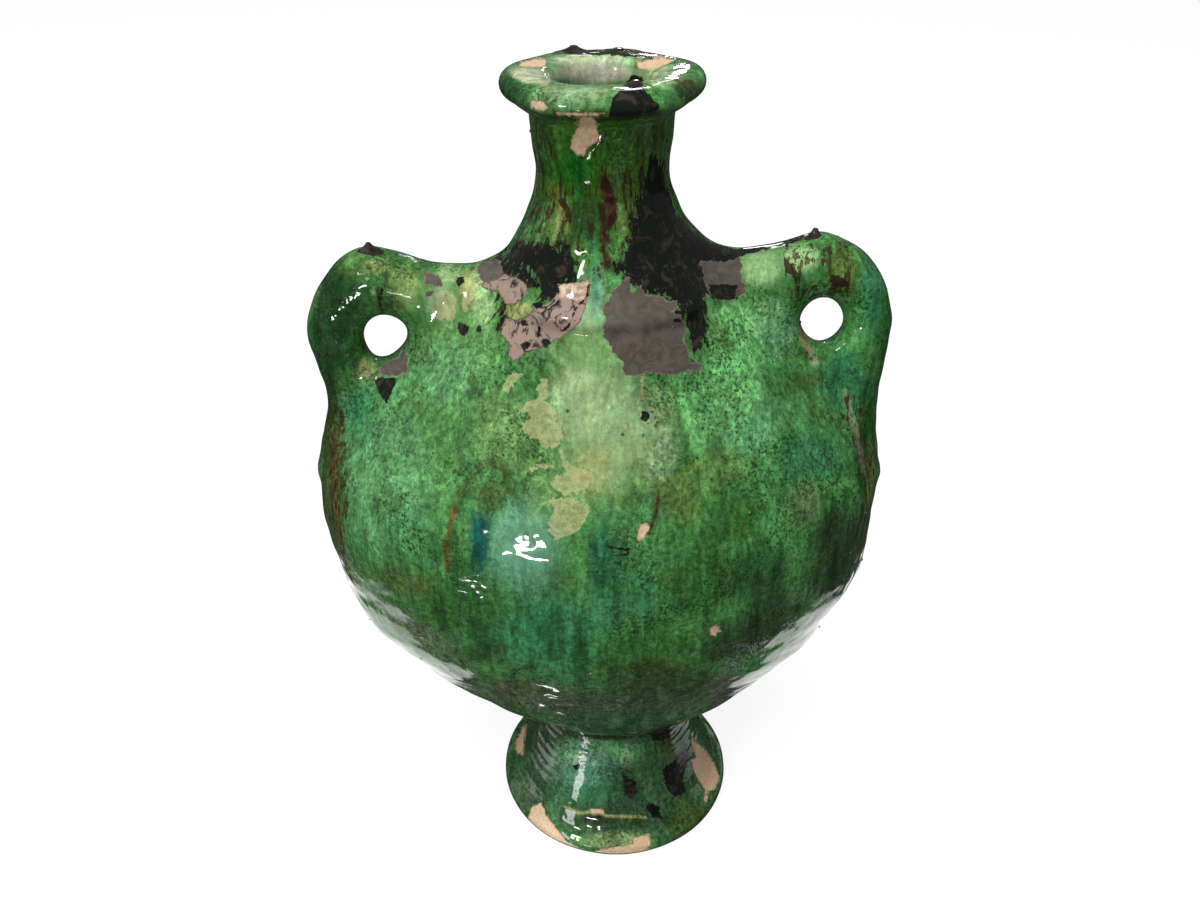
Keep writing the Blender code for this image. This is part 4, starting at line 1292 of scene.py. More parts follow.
class Wiring:
    """Adds nodes to a tree and joins them up."""

    def __init__(self, tree):
        self.tree = tree
        tree.nodes.clear()

    def feed(self, socket, value):
        if isinstance(value, bpy.types.NodeSocket):
            self.tree.links.new(value, socket)
        else:
            socket.default_value = value

    def add(self, kind, inputs=None, **settings):
        node = self.tree.nodes.new(kind)
        for name, value in settings.items():
            setattr(node, name, value)
        for key, value in (inputs or {}).items():
            self.feed(node.inputs[key], value)
        return node

    def out(self, kind, inputs=None, **settings):
        """The first output of a new node."""
        return self.add(kind, inputs, **settings).outputs[0]

    def end(self, kind, shader):
        """Join a shader to the tree's end."""
        output = self.add(kind)
        self.feed(output.inputs["Surface"], shader)

    def place(self):
        """Where each point lies on its object."""
        return self.add("ShaderNodeTexCoord").outputs["Object"]

    def math(self, operation, first, second=0.0, clamp=False):
        return self.out("ShaderNodeMath", {0: first, 1: second}, operation=operation, use_clamp=clamp)

    def plus(self, first, second):
        return self.math("ADD", first, second)

    def minus(self, first, second):
        return self.math("SUBTRACT", first, second)

    def times(self, first, second):
        return self.math("MULTIPLY", first, second)

    def swing(self, value, middle, height):
        """A value's distance from its middle, made higher or lower."""
        return self.times(self.minus(value, middle), height)

    def vector(self, x, y, z):
        return self.out("ShaderNodeCombineXYZ", {0: x, 1: y, 2: z})

    def blend(self, share, first, second, mode="MIX"):
        node = self.add("ShaderNodeMix", data_type="RGBA", blend_type=mode)
        values = {"Factor_Float": share, "A_Color": first, "B_Color": second}
        for socket in node.inputs:
            if socket.identifier in values:
                self.feed(socket, values[socket.identifier])
        return next(socket for socket in node.outputs if socket.identifier == "Result_Color")

    def number(self, share, first, second):
        return self.out("ShaderNodeMix", {0: share, 2: first, 3: second}, data_type="FLOAT")

    def rise(self, value, low, high, bottom=0.0, top=1.0):
        """From bottom to top, with level ends, as the value goes from low to high."""
        sockets = {"Value": value, 1: low, 2: high, 3: bottom, 4: top}
        return self.out("ShaderNodeMapRange", sockets, interpolation_type="SMOOTHSTEP")

    def stretch(self, vector, scale):
        return self.out("ShaderNodeMapping", {"Vector": vector, "Scale": scale}, vector_type="POINT")

    def noise(self, vector, scale, detail=3.0, roughness=0.55, distortion=0.0):
        sockets = {"Vector": vector, "Scale": scale, "Detail": detail, "Roughness": roughness}
        sockets["Distortion"] = distortion
        return self.out("ShaderNodeTexNoise", sockets, noise_dimensions="3D")

    def level(self, name, output="Fac"):
        """A painted attribute of the mesh."""
        return self.add("ShaderNodeAttribute", attribute_name=name, attribute_type="GEOMETRY").outputs[output]


def new_material(name):
    """A new material, and the wiring of its emptied tree."""
    material = bpy.data.materials.new(name)
    material.use_nodes = True
    return material, Wiring(material.node_tree)


def glaze_material(name, colours, painted=True, tone="mid"):
    """Copper-green lead glaze over clay: streaks that ran down, dark specks, pits, pools and bare clay."""
    material, wiring = new_material(name)
    shade = {key: (*value, 1.0) for key, value in colours.items()}
    place = wiring.place()
    runs = wiring.noise(wiring.stretch(place, (1.0, 1.0, 0.16)), 260.0, 5.0, 0.72, 0.6)
    wide_runs = wiring.noise(wiring.stretch(place, (1.0, 1.0, 0.22)), 70.0, 4.0, 0.6, 0.8)
    cloud = wiring.noise(place, 55.0, 5.0, 0.68, 0.6)
    specks = wiring.noise(place, 760.0, 5.0, 0.75)
    cluster = wiring.noise(place, 34.0, 3.0, 0.65, 0.5)
    flecks = wiring.noise(wiring.stretch(place, (1.0, 1.0, 0.6)), 560.0, 3.0, 0.70, 0.4)
    fine = wiring.noise(place, 420.0, 4.0, 0.75)
    calm = wiring.level("calm") if painted else 0.0
    plain = base = wiring.level("tone", "Color") if painted else shade[tone]
    roughened = wiring.plus(fine, wiring.times(calm, -0.06))
    shadings = (
        (1.0, wiring.rise(runs, 0.30, 0.72, 1.42, 0.55)),
        (1.0, wiring.rise(wide_runs, 0.30, 0.70, 1.22, 0.76)),
        (wiring.rise(cloud, 0.50, 0.70, 0.0, 0.75), shade["warm"]),
        (wiring.rise(cloud, 0.50, 0.30, 0.0, 0.75), shade["cool"]),
        (1.0, wiring.rise(cloud, 0.36, 0.64, 1.16, 0.84)),
        (1.0, wiring.rise(roughened, 0.36, 0.66, 1.28, 0.58)),
        (1.0, wiring.rise(flecks, 0.55, 0.62, 1.0, 1.36)),
    )
    for share, shading in shadings:
        base = wiring.blend(share, base, shading, "MULTIPLY")
    base = wiring.blend(wiring.times(calm, 0.5), base, plain)
    dense = wiring.plus(wiring.rise(cluster, 0.35, 0.65, 0.65, 0.50), wiring.times(calm, 0.12))
    speck_mask = wiring.rise(wiring.minus(specks, dense), 0.0, 0.06)
    base = wiring.blend(wiring.times(speck_mask, 0.85), base, shade["speck"])
    roughness = wiring.rise(fine, 0.3, 0.7, 0.03, 0.08)
    sheen = wiring.rise(wiring.level("dull"), 0.0, 1.0, 0.5, 0.10) if painted else 0.5
    height = wiring.times(speck_mask, -0.06)
    height = wiring.plus(height, wiring.times(wiring.noise(place, 100.0, 0.0, 0.4, 0.8), 1.1))
    height = wiring.plus(height, wiring.times(wiring.noise(place, 330.0, 0.0, 0.4), 0.10))
    if painted:
        lumps = wiring.times(wiring.noise(place, 300.0, 1.0, 0.5), wiring.level("lumpy"))
        height = wiring.plus(height, wiring.times(lumps, 0.9))
        base, masks = add_films(wiring, place, fine, base, shade)
        grain = wiring.noise(place, 700.0, 5.0, 0.75)
        clay = wiring.blend(wiring.rise(grain, 0.40, 0.62), shade["clay"], shade["clay_pale"])
        clay = wiring.blend(wiring.rise(grain, 0.60, 0.66, 0.0, 0.7), clay, shade["umber"])
        clay = wiring.blend(wiring.times(masks["bare rim"], 0.5), clay, shade["brown"])
        base = wiring.blend(masks["bare"], base, clay)
        roughness = wiring.number(masks["bare"], roughness, 0.80)
        height = wiring.number(masks["bare"], height, wiring.minus(wiring.times(grain, 0.8), 0.8))
    bump = wiring.out("ShaderNodeBump", {"Strength": 0.55, "Distance": 0.0008, "Height": height})
    surface = {"Base Color": base, "Roughness": roughness, "Specular IOR Level": sheen, "IOR": 1.55}
    shader = wiring.out("ShaderNodeBsdfPrincipled", {**surface, "Normal": bump})
    wiring.end("ShaderNodeOutputMaterial", shader)
    return material


def add_films(wiring, place, fine, base, shade):
    """Lay the pools, the crisp films and the painted reflections over the glaze, with dark veins round the
    pale reflections, and give their masks too.
    """
    dripping = wiring.noise(wiring.stretch(place, (1.0, 1.0, 0.12)), 330.0, 5.0, 0.70)
    drips = wiring.swing(dripping, 0.5, 26.0)
    threads = wiring.noise(wiring.stretch(place, (1.0, 1.0, 0.10)), 480.0, 4.0, 0.65)
    threads = wiring.swing(threads, 0.56, 40.0)
    flow = wiring.swing(wiring.noise(place, 210.0, 6.0, 0.68, 1.0), 0.52, 9.0)
    edge = wiring.swing(wiring.noise(place, 360.0, 5.0, 0.70), 0.5, 4.5)
    strays = {"pool": drips, "iron": threads, "pale_reflection": flow, "grey_reflection": flow}
    masks = {}
    for kind in PATCH_KINDS:
        level = wiring.level(kind)
        if kind == "iron":
            level = wiring.math("MINIMUM", level, 0.4)
        level = wiring.plus(level, strays.get(kind, edge))
        masks[kind] = wiring.rise(level, -0.12, 0.12)
        masks[kind + " rim"] = wiring.rise(level, 0.45 if kind == "grey_reflection" else 0.80, 0.2)
    fringe = wiring.rise(wiring.plus(wiring.level("pool"), drips), -5.0, 1.0)
    base = wiring.blend(wiring.times(fringe, 0.65), base, shade["moss"])
    # Dark veins that outline the painted pale reflections
    near = wiring.rise(wiring.level("pale_reflection"), -5.0, -1.0)
    vein = wiring.math("ABSOLUTE", wiring.minus(wiring.noise(place, 130.0, 2.0, 0.5, 1.2), 0.5))
    vein = wiring.times(wiring.rise(vein, 0.004, 0.010, 0.45, 0.0), near)
    base = wiring.blend(vein, base, shade["moss"])
    mottled = wiring.noise(place, 150.0, 5.0, 0.65, 1.2)
    film = wiring.noise(place, 120.0, 6.0, 0.70, 1.6)
    # The pinkish marbled and grey veined faces are painted reflections
    marbled = wiring.blend(wiring.rise(film, 0.50, 0.55), shade["rose"], shade["grey_reflection"])
    marbled = wiring.blend(wiring.rise(film, 0.57, 0.58), marbled, shade["black"])
    marbled = wiring.blend(wiring.rise(film, 0.62, 0.63), marbled, shade["rose"])
    veined = wiring.blend(wiring.rise(mottled, 0.35, 0.65), shade["grey_reflection"], shade["umber"])
    veined = wiring.blend(0.50, veined, shade["grey_reflection"])
    burnt = wiring.blend(wiring.rise(mottled, 0.50, 0.66, 0.0, 0.9), shade["black"], shade["umber"])
    burnt = wiring.blend(wiring.rise(dripping, 0.60, 0.72, 0.0, 0.5), burnt, shade["moss"])
    # The pale cream and pale pink faces are painted reflections too
    pale_reflection_face = wiring.blend(wiring.rise(fine, 0.35, 0.65), shade["pale_reflection"], shade["gold"])
    pale_pink_face = wiring.blend(wiring.rise(film, 0.42, 0.60), shade["clay_pale"], shade["rose"])
    rusty = wiring.blend(wiring.rise(mottled, 0.22, 0.50), shade["brown"], shade["maroon"])
    films = (
        ("brown", rusty, 0.90, "maroon"),
        ("iron", rusty, 0.85, "maroon"),
        ("pool", burnt, 0.98, "black"),
        ("rose", marbled, 1.0, "umber"),
        ("pale_pink_reflection", pale_pink_face, 0.95, "rose"),
        ("grey_reflection", veined, 1.0, "rose"),
        ("pale_reflection", pale_reflection_face, 0.62, "pale_reflection"),
        ("black", burnt, 0.97, "black"),
    )
    for kind, face, strength, rim in films:
        face = wiring.blend(wiring.times(masks[kind + " rim"], 0.7), face, shade[rim])
        base = wiring.blend(wiring.times(masks[kind], strength), base, face)
    return base, masks


class GeometryTree(Wiring):
    """A geometry tree with named inputs, run on a mesh and turned into a plain one.

    Each input has its default, or its kind where it has none.
    """

    def __init__(self, name, inputs):
        tree = bpy.data.node_groups.new(name, "GeometryNodeTree")
        super().__init__(tree)
        tree.interface.new_socket(name="Geometry", in_out="OUTPUT", socket_type="NodeSocketGeometry")
        self.sockets = {}
        for key, value in {**inputs, "Material": "NodeSocketMaterial"}.items():
            kind = {float: "NodeSocketFloat", int: "NodeSocketInt"}.get(type(value), value)
            item = tree.interface.new_socket(name=key, in_out="INPUT", socket_type=kind)
            if kind != value:
                item.default_value = value
            self.sockets[key] = item.identifier
        self.entry = self.add("NodeGroupInput")

    def get(self, name):
        return self.entry.outputs[name]

    def finish(self, geometry):
        """End in Realize Instances and Set Material."""
        whole = self.out("GeometryNodeRealizeInstances", {"Geometry": geometry})
        finished = self.out("GeometryNodeSetMaterial", {"Geometry": whole, "Material": self.get("Material")})
        output = self.add("NodeGroupOutput")
        self.feed(output.inputs[0], finished)

    def make(self, name, values, mesh=None):
        piece = link(name, mesh or bpy.data.meshes.new(name))
        change = piece.modifiers.new("Making", "NODES")
        change.node_group = self.tree
        for key, value in values.items():
            change[self.sockets[key]] = value
        return settled(piece, name)


def foot_section():
    """The foot's section from its waist down the outside, under its ring and up the hollow."""
    waist = (WAIST_RADIUS, FOOT_HEIGHT)
    cove_end = (LEDGE_RADIUS, BASE_HEIGHT)
    shelf = (LEDGE_RADIUS + FOOT_ROUNDING, BASE_HEIGHT - FOOT_ROUNDING)
    base_edge = (BASE_RADIUS, BASE_EDGE_LEVEL)
    ring_edge = (BASE_RADIUS - BASE_RING_WIDTH, 0.0)
    hollow_start = (ring_edge[0] - FOOT_ROUNDING, FOOT_ROUNDING)
    hollow_end = (WAIST_RADIUS - FOOT_WALL, FOOT_HEIGHT)
    cove_pull = (cove_end[0] - FOOT_ROUNDING, BASE_HEIGHT + COVE_PULL_UP)
    shelf_pull = (shelf[0], shelf[1] - BASE_PULL)
    section = [waist]
    section += bezier(waist, (waist[0], COVE_LEVEL), cove_pull, cove_end)
    section += [shelf]
    section += bezier(shelf, shelf_pull, (BASE_RADIUS, BASE_PULL_LEVEL), base_edge, 10)
    section += [(BASE_RADIUS - FOOT_ROUNDING, 0.0), ring_edge, hollow_start]
    pulls = (hollow_start[0], HOLLOW_PULL_UP), (hollow_end[0], HOLLOW_PULL_DOWN)
    section += bezier(hollow_start, *pulls, hollow_end, 12)
    return section + [waist]


def even_steps(section, count):
    """Points at even distances along a section."""
    points = np.array(section)
    along = np.concatenate(([0.0], np.cumsum(np.linalg.norm(np.diff(points, axis=0), axis=1))))
    even = np.linspace(0.0, along[-1], count)
    return np.interp(even, along, points[:, 0]), np.interp(even, along, points[:, 1]), even / along[-1]


def fill_curve(node, along, values):
    """Set a Float Curve to given values, joined by straight lines."""
    curve = node.mapping.curves[0]
    while len(curve.points) > 2:
        curve.points.remove(curve.points[1])
    curve.points[0].location = (0.0, values[0])
    curve.points[-1].location = (1.0, values[-1])
    for place, value in list(zip(along, values))[1:-1]:
        curve.points.new(place, value)
    for point in curve.points:
        point.handle_type = "VECTOR"
    node.mapping.update()


def foot_tree():
    """Turns a wall's section into a foot on the wheel, with its throwing rings and a slight waver."""
    inputs = {"Height": FOOT_HEIGHT, "Base Radius": BASE_RADIUS, "Shift": FOOT_SHIFT}
    inputs.update({"Waver": 0.0006, "Ring Depth": 0.00025, "Around": 200, "Along": 150})
    tree = GeometryTree("Turned foot", inputs)
    size = {"Size X": 1.0, "Size Y": 1.0, "Vertices X": tree.get("Around"), "Vertices Y": tree.get("Along")}
    grid = tree.out("GeometryNodeMeshGrid", size)
    split = tree.add("ShaderNodeSeparateXYZ", {0: tree.out("GeometryNodeInputPosition")})
    angle = tree.times(tree.plus(split.outputs[0], 0.5), 2 * math.pi)
    along = tree.plus(split.outputs[1], 0.5)
    radii, heights, steps = even_steps(foot_section(), SECTION_STEPS)
    radius_curve = tree.add("ShaderNodeFloatCurve", {"Value": along})
    fill_curve(radius_curve, steps, radii / BASE_RADIUS)
    height_curve = tree.add("ShaderNodeFloatCurve", {"Value": along})
    fill_curve(height_curve, steps, heights / FOOT_HEIGHT)
    radius = tree.times(radius_curve.outputs[0], tree.get("Base Radius"))
    height = tree.times(height_curve.outputs[0], tree.get("Height"))
    cosine = tree.math("COSINE", angle)
    sine = tree.math("SINE", angle)
    spot = tree.vector(cosine, sine, tree.times(height, 20.0))
    waver = tree.times(tree.minus(tree.noise(spot, 1.6, 1.0, 0.5), 0.5), tree.get("Waver"))
    rings = tree.math("SINE", tree.plus(tree.times(height, RINGS_PER_METRE), angle))
    outside = tree.math("LESS_THAN", along, OUTSIDE_SHARE)
    rings = tree.times(tree.times(rings, tree.get("Ring Depth")), outside)
    radius = tree.plus(tree.plus(radius, waver), rings)
    across = tree.plus(tree.times(radius, cosine), tree.get("Shift"))
    point = tree.vector(across, tree.times(radius, sine), height)
    moved = tree.out("GeometryNodeSetPosition", {"Geometry": grid, "Position": point})
    closed = tree.out("GeometryNodeMergeByDistance", {"Geometry": moved, "Distance": WELD})
    tree.finish(tree.out("GeometryNodeSetShadeSmooth", {"Geometry": closed}))
    return tree


def bead_tree():
    """A bead of glaze that ran to a point while the flask was fired upside down."""
    inputs = {"Radius": 0.0048, "Rise": 0.0042, "Sink": 0.0025, "Spread": 1.0, "Around": 32}
    tree = GeometryTree("Glaze bead", inputs)
    around = tree.get("Around")
    ball = tree.out("GeometryNodeMeshUVSphere", {"Segments": around, "Rings": around, "Radius": 1.0})
    split = tree.add("ShaderNodeSeparateXYZ", {0: tree.out("GeometryNodeInputPosition")})
    above = tree.math("MAXIMUM", split.outputs[2], 0.0)
    below = tree.math("MINIMUM", split.outputs[2], 0.0)
    narrowing = tree.math("POWER", tree.minus(1.0, above), 1.5)
    narrowing = tree.plus(tree.times(narrowing, 0.84), 0.16)
    round_side = tree.math("SQRT", tree.math("SUBTRACT", 1.0, tree.times(above, above), clamp=True))
    share = tree.math("DIVIDE", narrowing, tree.math("MAXIMUM", round_side, 0.05))
    wide = tree.times(tree.math("MINIMUM", share, 1.0), tree.get("Radius"))
    height = tree.plus(tree.times(above, tree.get("Rise")), tree.times(below, tree.get("Sink")))
    across = tree.times(tree.times(split.outputs[0], wide), tree.get("Spread"))
    point = tree.vector(across, tree.times(split.outputs[1], wide), height)
    moved = tree.out("GeometryNodeSetPosition", {"Geometry": ball, "Position": point})
    tree.finish(tree.out("GeometryNodeSetShadeSmooth", {"Geometry": moved}))
    return tree


def bubble_tree():
    """Small round blisters that rose in the glaze, scattered over a surface."""
    inputs = {"Surface": "NodeSocketGeometry", "Gap": 0.0060, "Density": 700.0}
    inputs.update({"Smallest": 0.00025, "Largest": 0.00070, "Seed": 7})
    tree = GeometryTree("Glaze bubbles", inputs)
    scatter = {"Mesh": tree.get("Surface"), "Distance Min": tree.get("Gap")}
    scatter.update({"Density Max": tree.get("Density"), "Seed": tree.get("Seed")})
    spread = tree.add("GeometryNodeDistributePointsOnFaces", scatter, distribute_method="POISSON")
    dome = tree.out("GeometryNodeMeshIcoSphere", {"Radius": 1.0, "Subdivisions": 2})
    span = {2: tree.get("Smallest"), 3: tree.get("Largest"), "Seed": tree.get("Seed")}
    size = tree.add("FunctionNodeRandomValue", span, data_type="FLOAT").outputs[1]
    low = {0: tree.vector(size, size, size), 1: (1.0, 1.0, 0.7)}
    flat = tree.out("ShaderNodeVectorMath", low, operation="MULTIPLY")
    placing = {"Points": spread.outputs["Points"], "Rotation": spread.outputs["Rotation"]}
    placing.update({"Instance": dome, "Scale": flat})
    placed = tree.out("GeometryNodeInstanceOnPoints", placing)
    whole = tree.out("GeometryNodeRealizeInstances", {"Geometry": placed})
    tree.finish(tree.out("GeometryNodeSetShadeSmooth", {"Geometry": whole}))
    return tree


def paint_colour(name, default, about):
    """A colour in the panel."""
    span = {"min": 0.0, "max": 1.0}
    return FloatVectorProperty(name=name, description=about, size=3, subtype="COLOR", default=default, **span)


def length(name, default, lowest, about):
    """A length in the panel."""
    return FloatProperty(name=name, description=about, default=default, min=lowest, unit="LENGTH")


class FlaskColours(bpy.types.PropertyGroup):
    mid: paint_colour("Mid green", srgb(72, 128, 70), "Glaze of middling thickness")
    jade: paint_colour("Jade", srgb(96, 152, 104), "Pale bluish glaze")
    # Haze also paints sheen on the belly
    haze_and_sheen: paint_colour("Haze", srgb(104, 156, 130), "Cloudy glaze")
    bright: paint_colour("Bright green", srgb(104, 170, 100), "Thin bright glaze")
    leaf: paint_colour("Leaf green", srgb(114, 154, 92), "Thin glaze over pale clay")
    # Spring also paints the light on the foot's flare under its ledge
    spring: paint_colour("Spring green", srgb(156, 188, 130), "The thinnest glaze")
    # Pale also paints highlights on the lip
    pale: paint_colour("Pale green", srgb(196, 202, 170), "Glaze worn thin on the lip")
    emerald: paint_colour("Emerald", srgb(26, 96, 28), "Clear thick glaze")
    forest: paint_colour("Forest green", srgb(56, 104, 50), "Thick glaze")
    teal: paint_colour("Teal", srgb(54, 120, 76), "Bluish thick glaze")
    ink: paint_colour("Ink", srgb(10, 74, 72), "Blue-black pooled glaze")
    # Deep, dark, moss and olive also paint the shade down the flanks, low on the right and under the foot's
    # ledge
    deep: paint_colour("Deep green", srgb(30, 68, 30), "Pooled glaze")
    dark: paint_colour("Dark green", srgb(44, 66, 38), "The thickest glaze")
    moss: paint_colour("Moss", srgb(64, 84, 40), "Brownish thick glaze")
    olive: paint_colour("Olive", srgb(92, 116, 54), "Brownish thin glaze")
    # Gold also paints the highlight along the foot's ledge
    gold: paint_colour("Gold", srgb(158, 162, 104), "Yellow thin glaze")
    amber: paint_colour("Amber", srgb(104, 66, 24), "Brown edge of a run")
    lichen: paint_colour("Lichen", srgb(98, 110, 82), "Greyish thin glaze")
    warm: paint_colour("Warm cast", (1.0, 0.90, 0.62), "Yellows the thin glaze")
    cool: paint_colour("Cool cast", (0.76, 0.95, 1.0), "Blues the thick glaze")
    brown: paint_colour("Brown", srgb(92, 66, 44), "Glaze stained by iron")
    maroon: paint_colour("Maroon", srgb(48, 22, 18), "Dark iron streaks")
    black: paint_colour("Black", srgb(16, 18, 18), "Burnt black glaze")
    umber: paint_colour("Umber", srgb(60, 48, 42), "Marbling in black glaze")
    char: paint_colour("Char", srgb(48, 42, 40), "The beads' brownish black")
    # Slate and rose paint the reflections on the shoulder and the lugs
    grey_reflection: paint_colour("Slate", srgb(99, 93, 86), "Grey-brown film on the shoulder")
    rose: paint_colour("Rose", srgb(158, 136, 124), "Pinkish film on the shoulder")
    fern: paint_colour("Fern", srgb(52, 98, 26), "Clear glaze on the neck")
    # Mist is also painted sheen on the belly and the lip, and cream is the painted reflection of a window
    mist_and_sheen: paint_colour("Mist", srgb(156, 184, 134), "Glaze clouded by tin")
    pale_reflection: paint_colour("Cream", srgb(196, 196, 146), "Thin cream film on the glaze")
    smoke: paint_colour("Smoke green", srgb(56, 86, 60), "Greyish glaze on the foot")
    ash: paint_colour("Ash", srgb(176, 176, 158), "Grey film inside the mouth")
    speck: paint_colour("Specks", srgb(26, 48, 22), "Dark specks in the glaze")
    clay: paint_colour("Clay", srgb(200, 168, 134), "Bare fired clay")
    clay_pale: paint_colour("Pale clay", srgb(222, 198, 168), "Bare clay with slip on it")
    floor: paint_colour("Floor", (0.22, 0.22, 0.22), "The pale floor, whose white the camera adds")


class FlaskSizes(bpy.types.PropertyGroup):
    skin_step: length("Skin step", 0.0013, 0.0008, "Size of the skin's faces")
    lug_blend: length("Lug blend", 0.0120, 0.001, "Width of the fillet round each lug")
    waver: length("Foot waver", 0.0007, 0.0, "How far the foot's wall strays")
    ring_depth: length("Throwing rings", 0.00007, 0.0, "Depth of the foot's throwing rings")
    seed: IntProperty(name="Seed", description="Scatter of the glaze bubbles", default=7, min=0)


def palette():
    """The panel's colours by name."""
    group = bpy.context.scene.flask_colours
    return {name: tuple(getattr(group, name)) for name in FlaskColours.__annotations__}


def glaze():
    """The painted glaze that all the clay pieces share."""
    return bpy.data.materials.get("green_glaze") or glaze_material("green_glaze", palette())


def stand_for(piece, node):
    """Let a finished piece stand for its node."""
    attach(piece, "root")
    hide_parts(node)


def finish_piece(piece, shade, node):
    """Paint a piece of skin, and let it stand for its node."""
    normals = smooth_like_skin(piece, shade)
    paint(piece.data, normals, palette())
    piece.data.materials.clear()
    piece.data.materials.append(glaze())
    stand_for(piece, node)


class Stock:
    """What is left of the skin while pieces are carved from it."""

    rest = None
    shade = None


class FLASK_OT_skin(bpy.types.Operator):
    """Shape the whole flask above its foot as one skin"""

    bl_idname = "flask.skin"
    bl_label = "Shape the skin"

    def execute(self, context):
        sizes = context.scene.flask_sizes
        Stock.rest = make_skin(sizes.skin_step, sizes.lug_blend)
        Stock.shade = SkinShade(Stock.rest)
        return {"FINISHED"}


class FLASK_OT_lip_and_neck(bpy.types.Operator):
    """Carve the lip and the neck from the skin"""

    bl_idname = "flask.lip_and_neck"
    bl_label = "Carve lip and neck"

    def execute(self, context):
        lip, rest = carve(Stock.rest, lip_region(), "glazed_lip")
        neck, rest = carve(rest, neck_region(), "glazed_neck")
        hollow = hollow_region()
        neck = cut(neck, hollow, "DIFFERENCE")
        Stock.rest = cut(rest, hollow, "DIFFERENCE")
        bpy.data.objects.remove(hollow)
        finish_piece(lip, Stock.shade, "rim")
        finish_piece(neck, Stock.shade, "neck")
        return {"FINISHED"}


class FLASK_OT_lugs(bpy.types.Operator):
    """Carve the two pierced lugs from the skin"""

    bl_idname = "flask.lugs"
    bl_label = "Carve lugs"

    def execute(self, context):
        for name in LUGS:
            lug, Stock.rest = carve(Stock.rest, lug_region(name), "glazed_lug_" + name)
            finish_piece(lug, Stock.shade, "lug_" + name)
        return {"FINISHED"}


class FLASK_OT_body(bpy.types.Operator):
    """Carve the collar and the two bowls of the body from the rest of the skin"""

    bl_idname = "flask.body"
    bl_label = "Carve body"

    def execute(self, context):
        collar, rest = carve(Stock.rest, collar_region(), "glazed_collar")
        front, back = carve(rest, half_region(-1), "glazed_body_front")
        back.name = "glazed_body_back"
        Stock.rest = None
        finish_piece(collar, Stock.shade, "foot_collar")
        finish_piece(front, Stock.shade, "body_front")
        finish_piece(back, Stock.shade, "body_back")
        return {"FINISHED"}


class FLASK_OT_foot(bpy.types.Operator):
    """Turn the flared foot"""

    bl_idname = "flask.foot"
    bl_label = "Turn foot"

    def execute(self, context):
        sizes = context.scene.flask_sizes
        values = {"Height": FOOT_HEIGHT, "Base Radius": BASE_RADIUS, "Shift": FOOT_SHIFT}
        values.update({"Waver": sizes.waver, "Ring Depth": sizes.ring_depth})
        values.update({"Around": 240, "Along": 170, "Material": glaze()})
        foot = foot_tree().make("glazed_foot", values)
        face_outwards(foot.data)
        foot.data.shade_smooth()
        paint(foot.data, vertex_normals(foot.data), palette())
        stand_for(foot, "foot")
        return {"FINISHED"}


# Beads: node, radius, share of the node's height, shift across, and the tip's distance below the node's top
BEADS = (
    ("bead_lug_left", 0.0056, 0.95, -0.0012, 0.0020),
    ("bead_lug_right", 0.0062, 0.95, 0.0004, 0.0014),
    ("bead_rim_back_left", 0.0085, 0.75, -0.0008, 0.0020),
    ("bead_rim_back_right", 0.0110, 0.60, -0.0008, 0.0032),
    ("bead_rim_front_right", 0.0080, 0.50, 0.0, 0.0022),
)


class FLASK_OT_beads(bpy.types.Operator):
    """Set the pointed beads of dark glaze on the lip and the lugs"""

    bl_idname = "flask.beads"
    bl_label = "Set beads"

    def execute(self, context):
        dark = glaze_material("bead_glaze", palette(), painted=False, tone="char")
        tree = bead_tree()
        for node, radius, share, shift, drop in BEADS:
            low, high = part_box(node)
            rise = (high.z - low.z) * share
            values = {"Radius": radius, "Rise": rise, "Sink": 0.0020, "Spread": 1.1, "Around": 32}
            values["Material"] = dark
            bead = tree.make("glazed_" + node, values)
            middle = ((low.x + high.x) / 2 + shift, (low.y + high.y) / 2, high.z - rise - drop)
            place_vertices(bead.data, vertex_places(bead.data) + np.array(middle))
            face_outwards(bead.data)
            stand_for(bead, node)
        return {"FINISHED"}


# Bubbles: the piece that they rose in, and how many there are in a square metre
BUBBLES = (
    ("body_front", 900.0),
    ("body_back", 500.0),
    ("neck", 900.0),
    ("lug_left", 600.0),
    ("lug_right", 600.0),
    ("foot", 300.0),
)


class FLASK_OT_bubbles(bpy.types.Operator):
    """Scatter small blisters over the glaze of the shoulder, the neck and the foot"""

    bl_idname = "flask.bubbles"
    bl_label = "Scatter bubbles"

    def execute(self, context):
        tree = bubble_tree()
        values = {"Gap": 0.0070, "Smallest": 0.00025, "Largest": 0.00075}
        values["Seed"] = context.scene.flask_sizes.seed
        values["Material"] = glaze_material("bubble_glaze", palette(), painted=False, tone="lichen")
        for name, density in BUBBLES:
            skin = bpy.data.objects["glazed_" + name].data.copy()
            bubbles = tree.make("bubbles_on_" + name, {**values, "Density": density}, skin)
            if len(bubbles.data.polygons) == 0:
                raise RuntimeError("no bubbles on " + name)
            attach(bubbles, "root")
        return {"FINISHED"}


def aim(thing, target):
    thing.rotation_euler = (Vector(target) - thing.location).to_track_quat("-Z", "Y").to_euler()


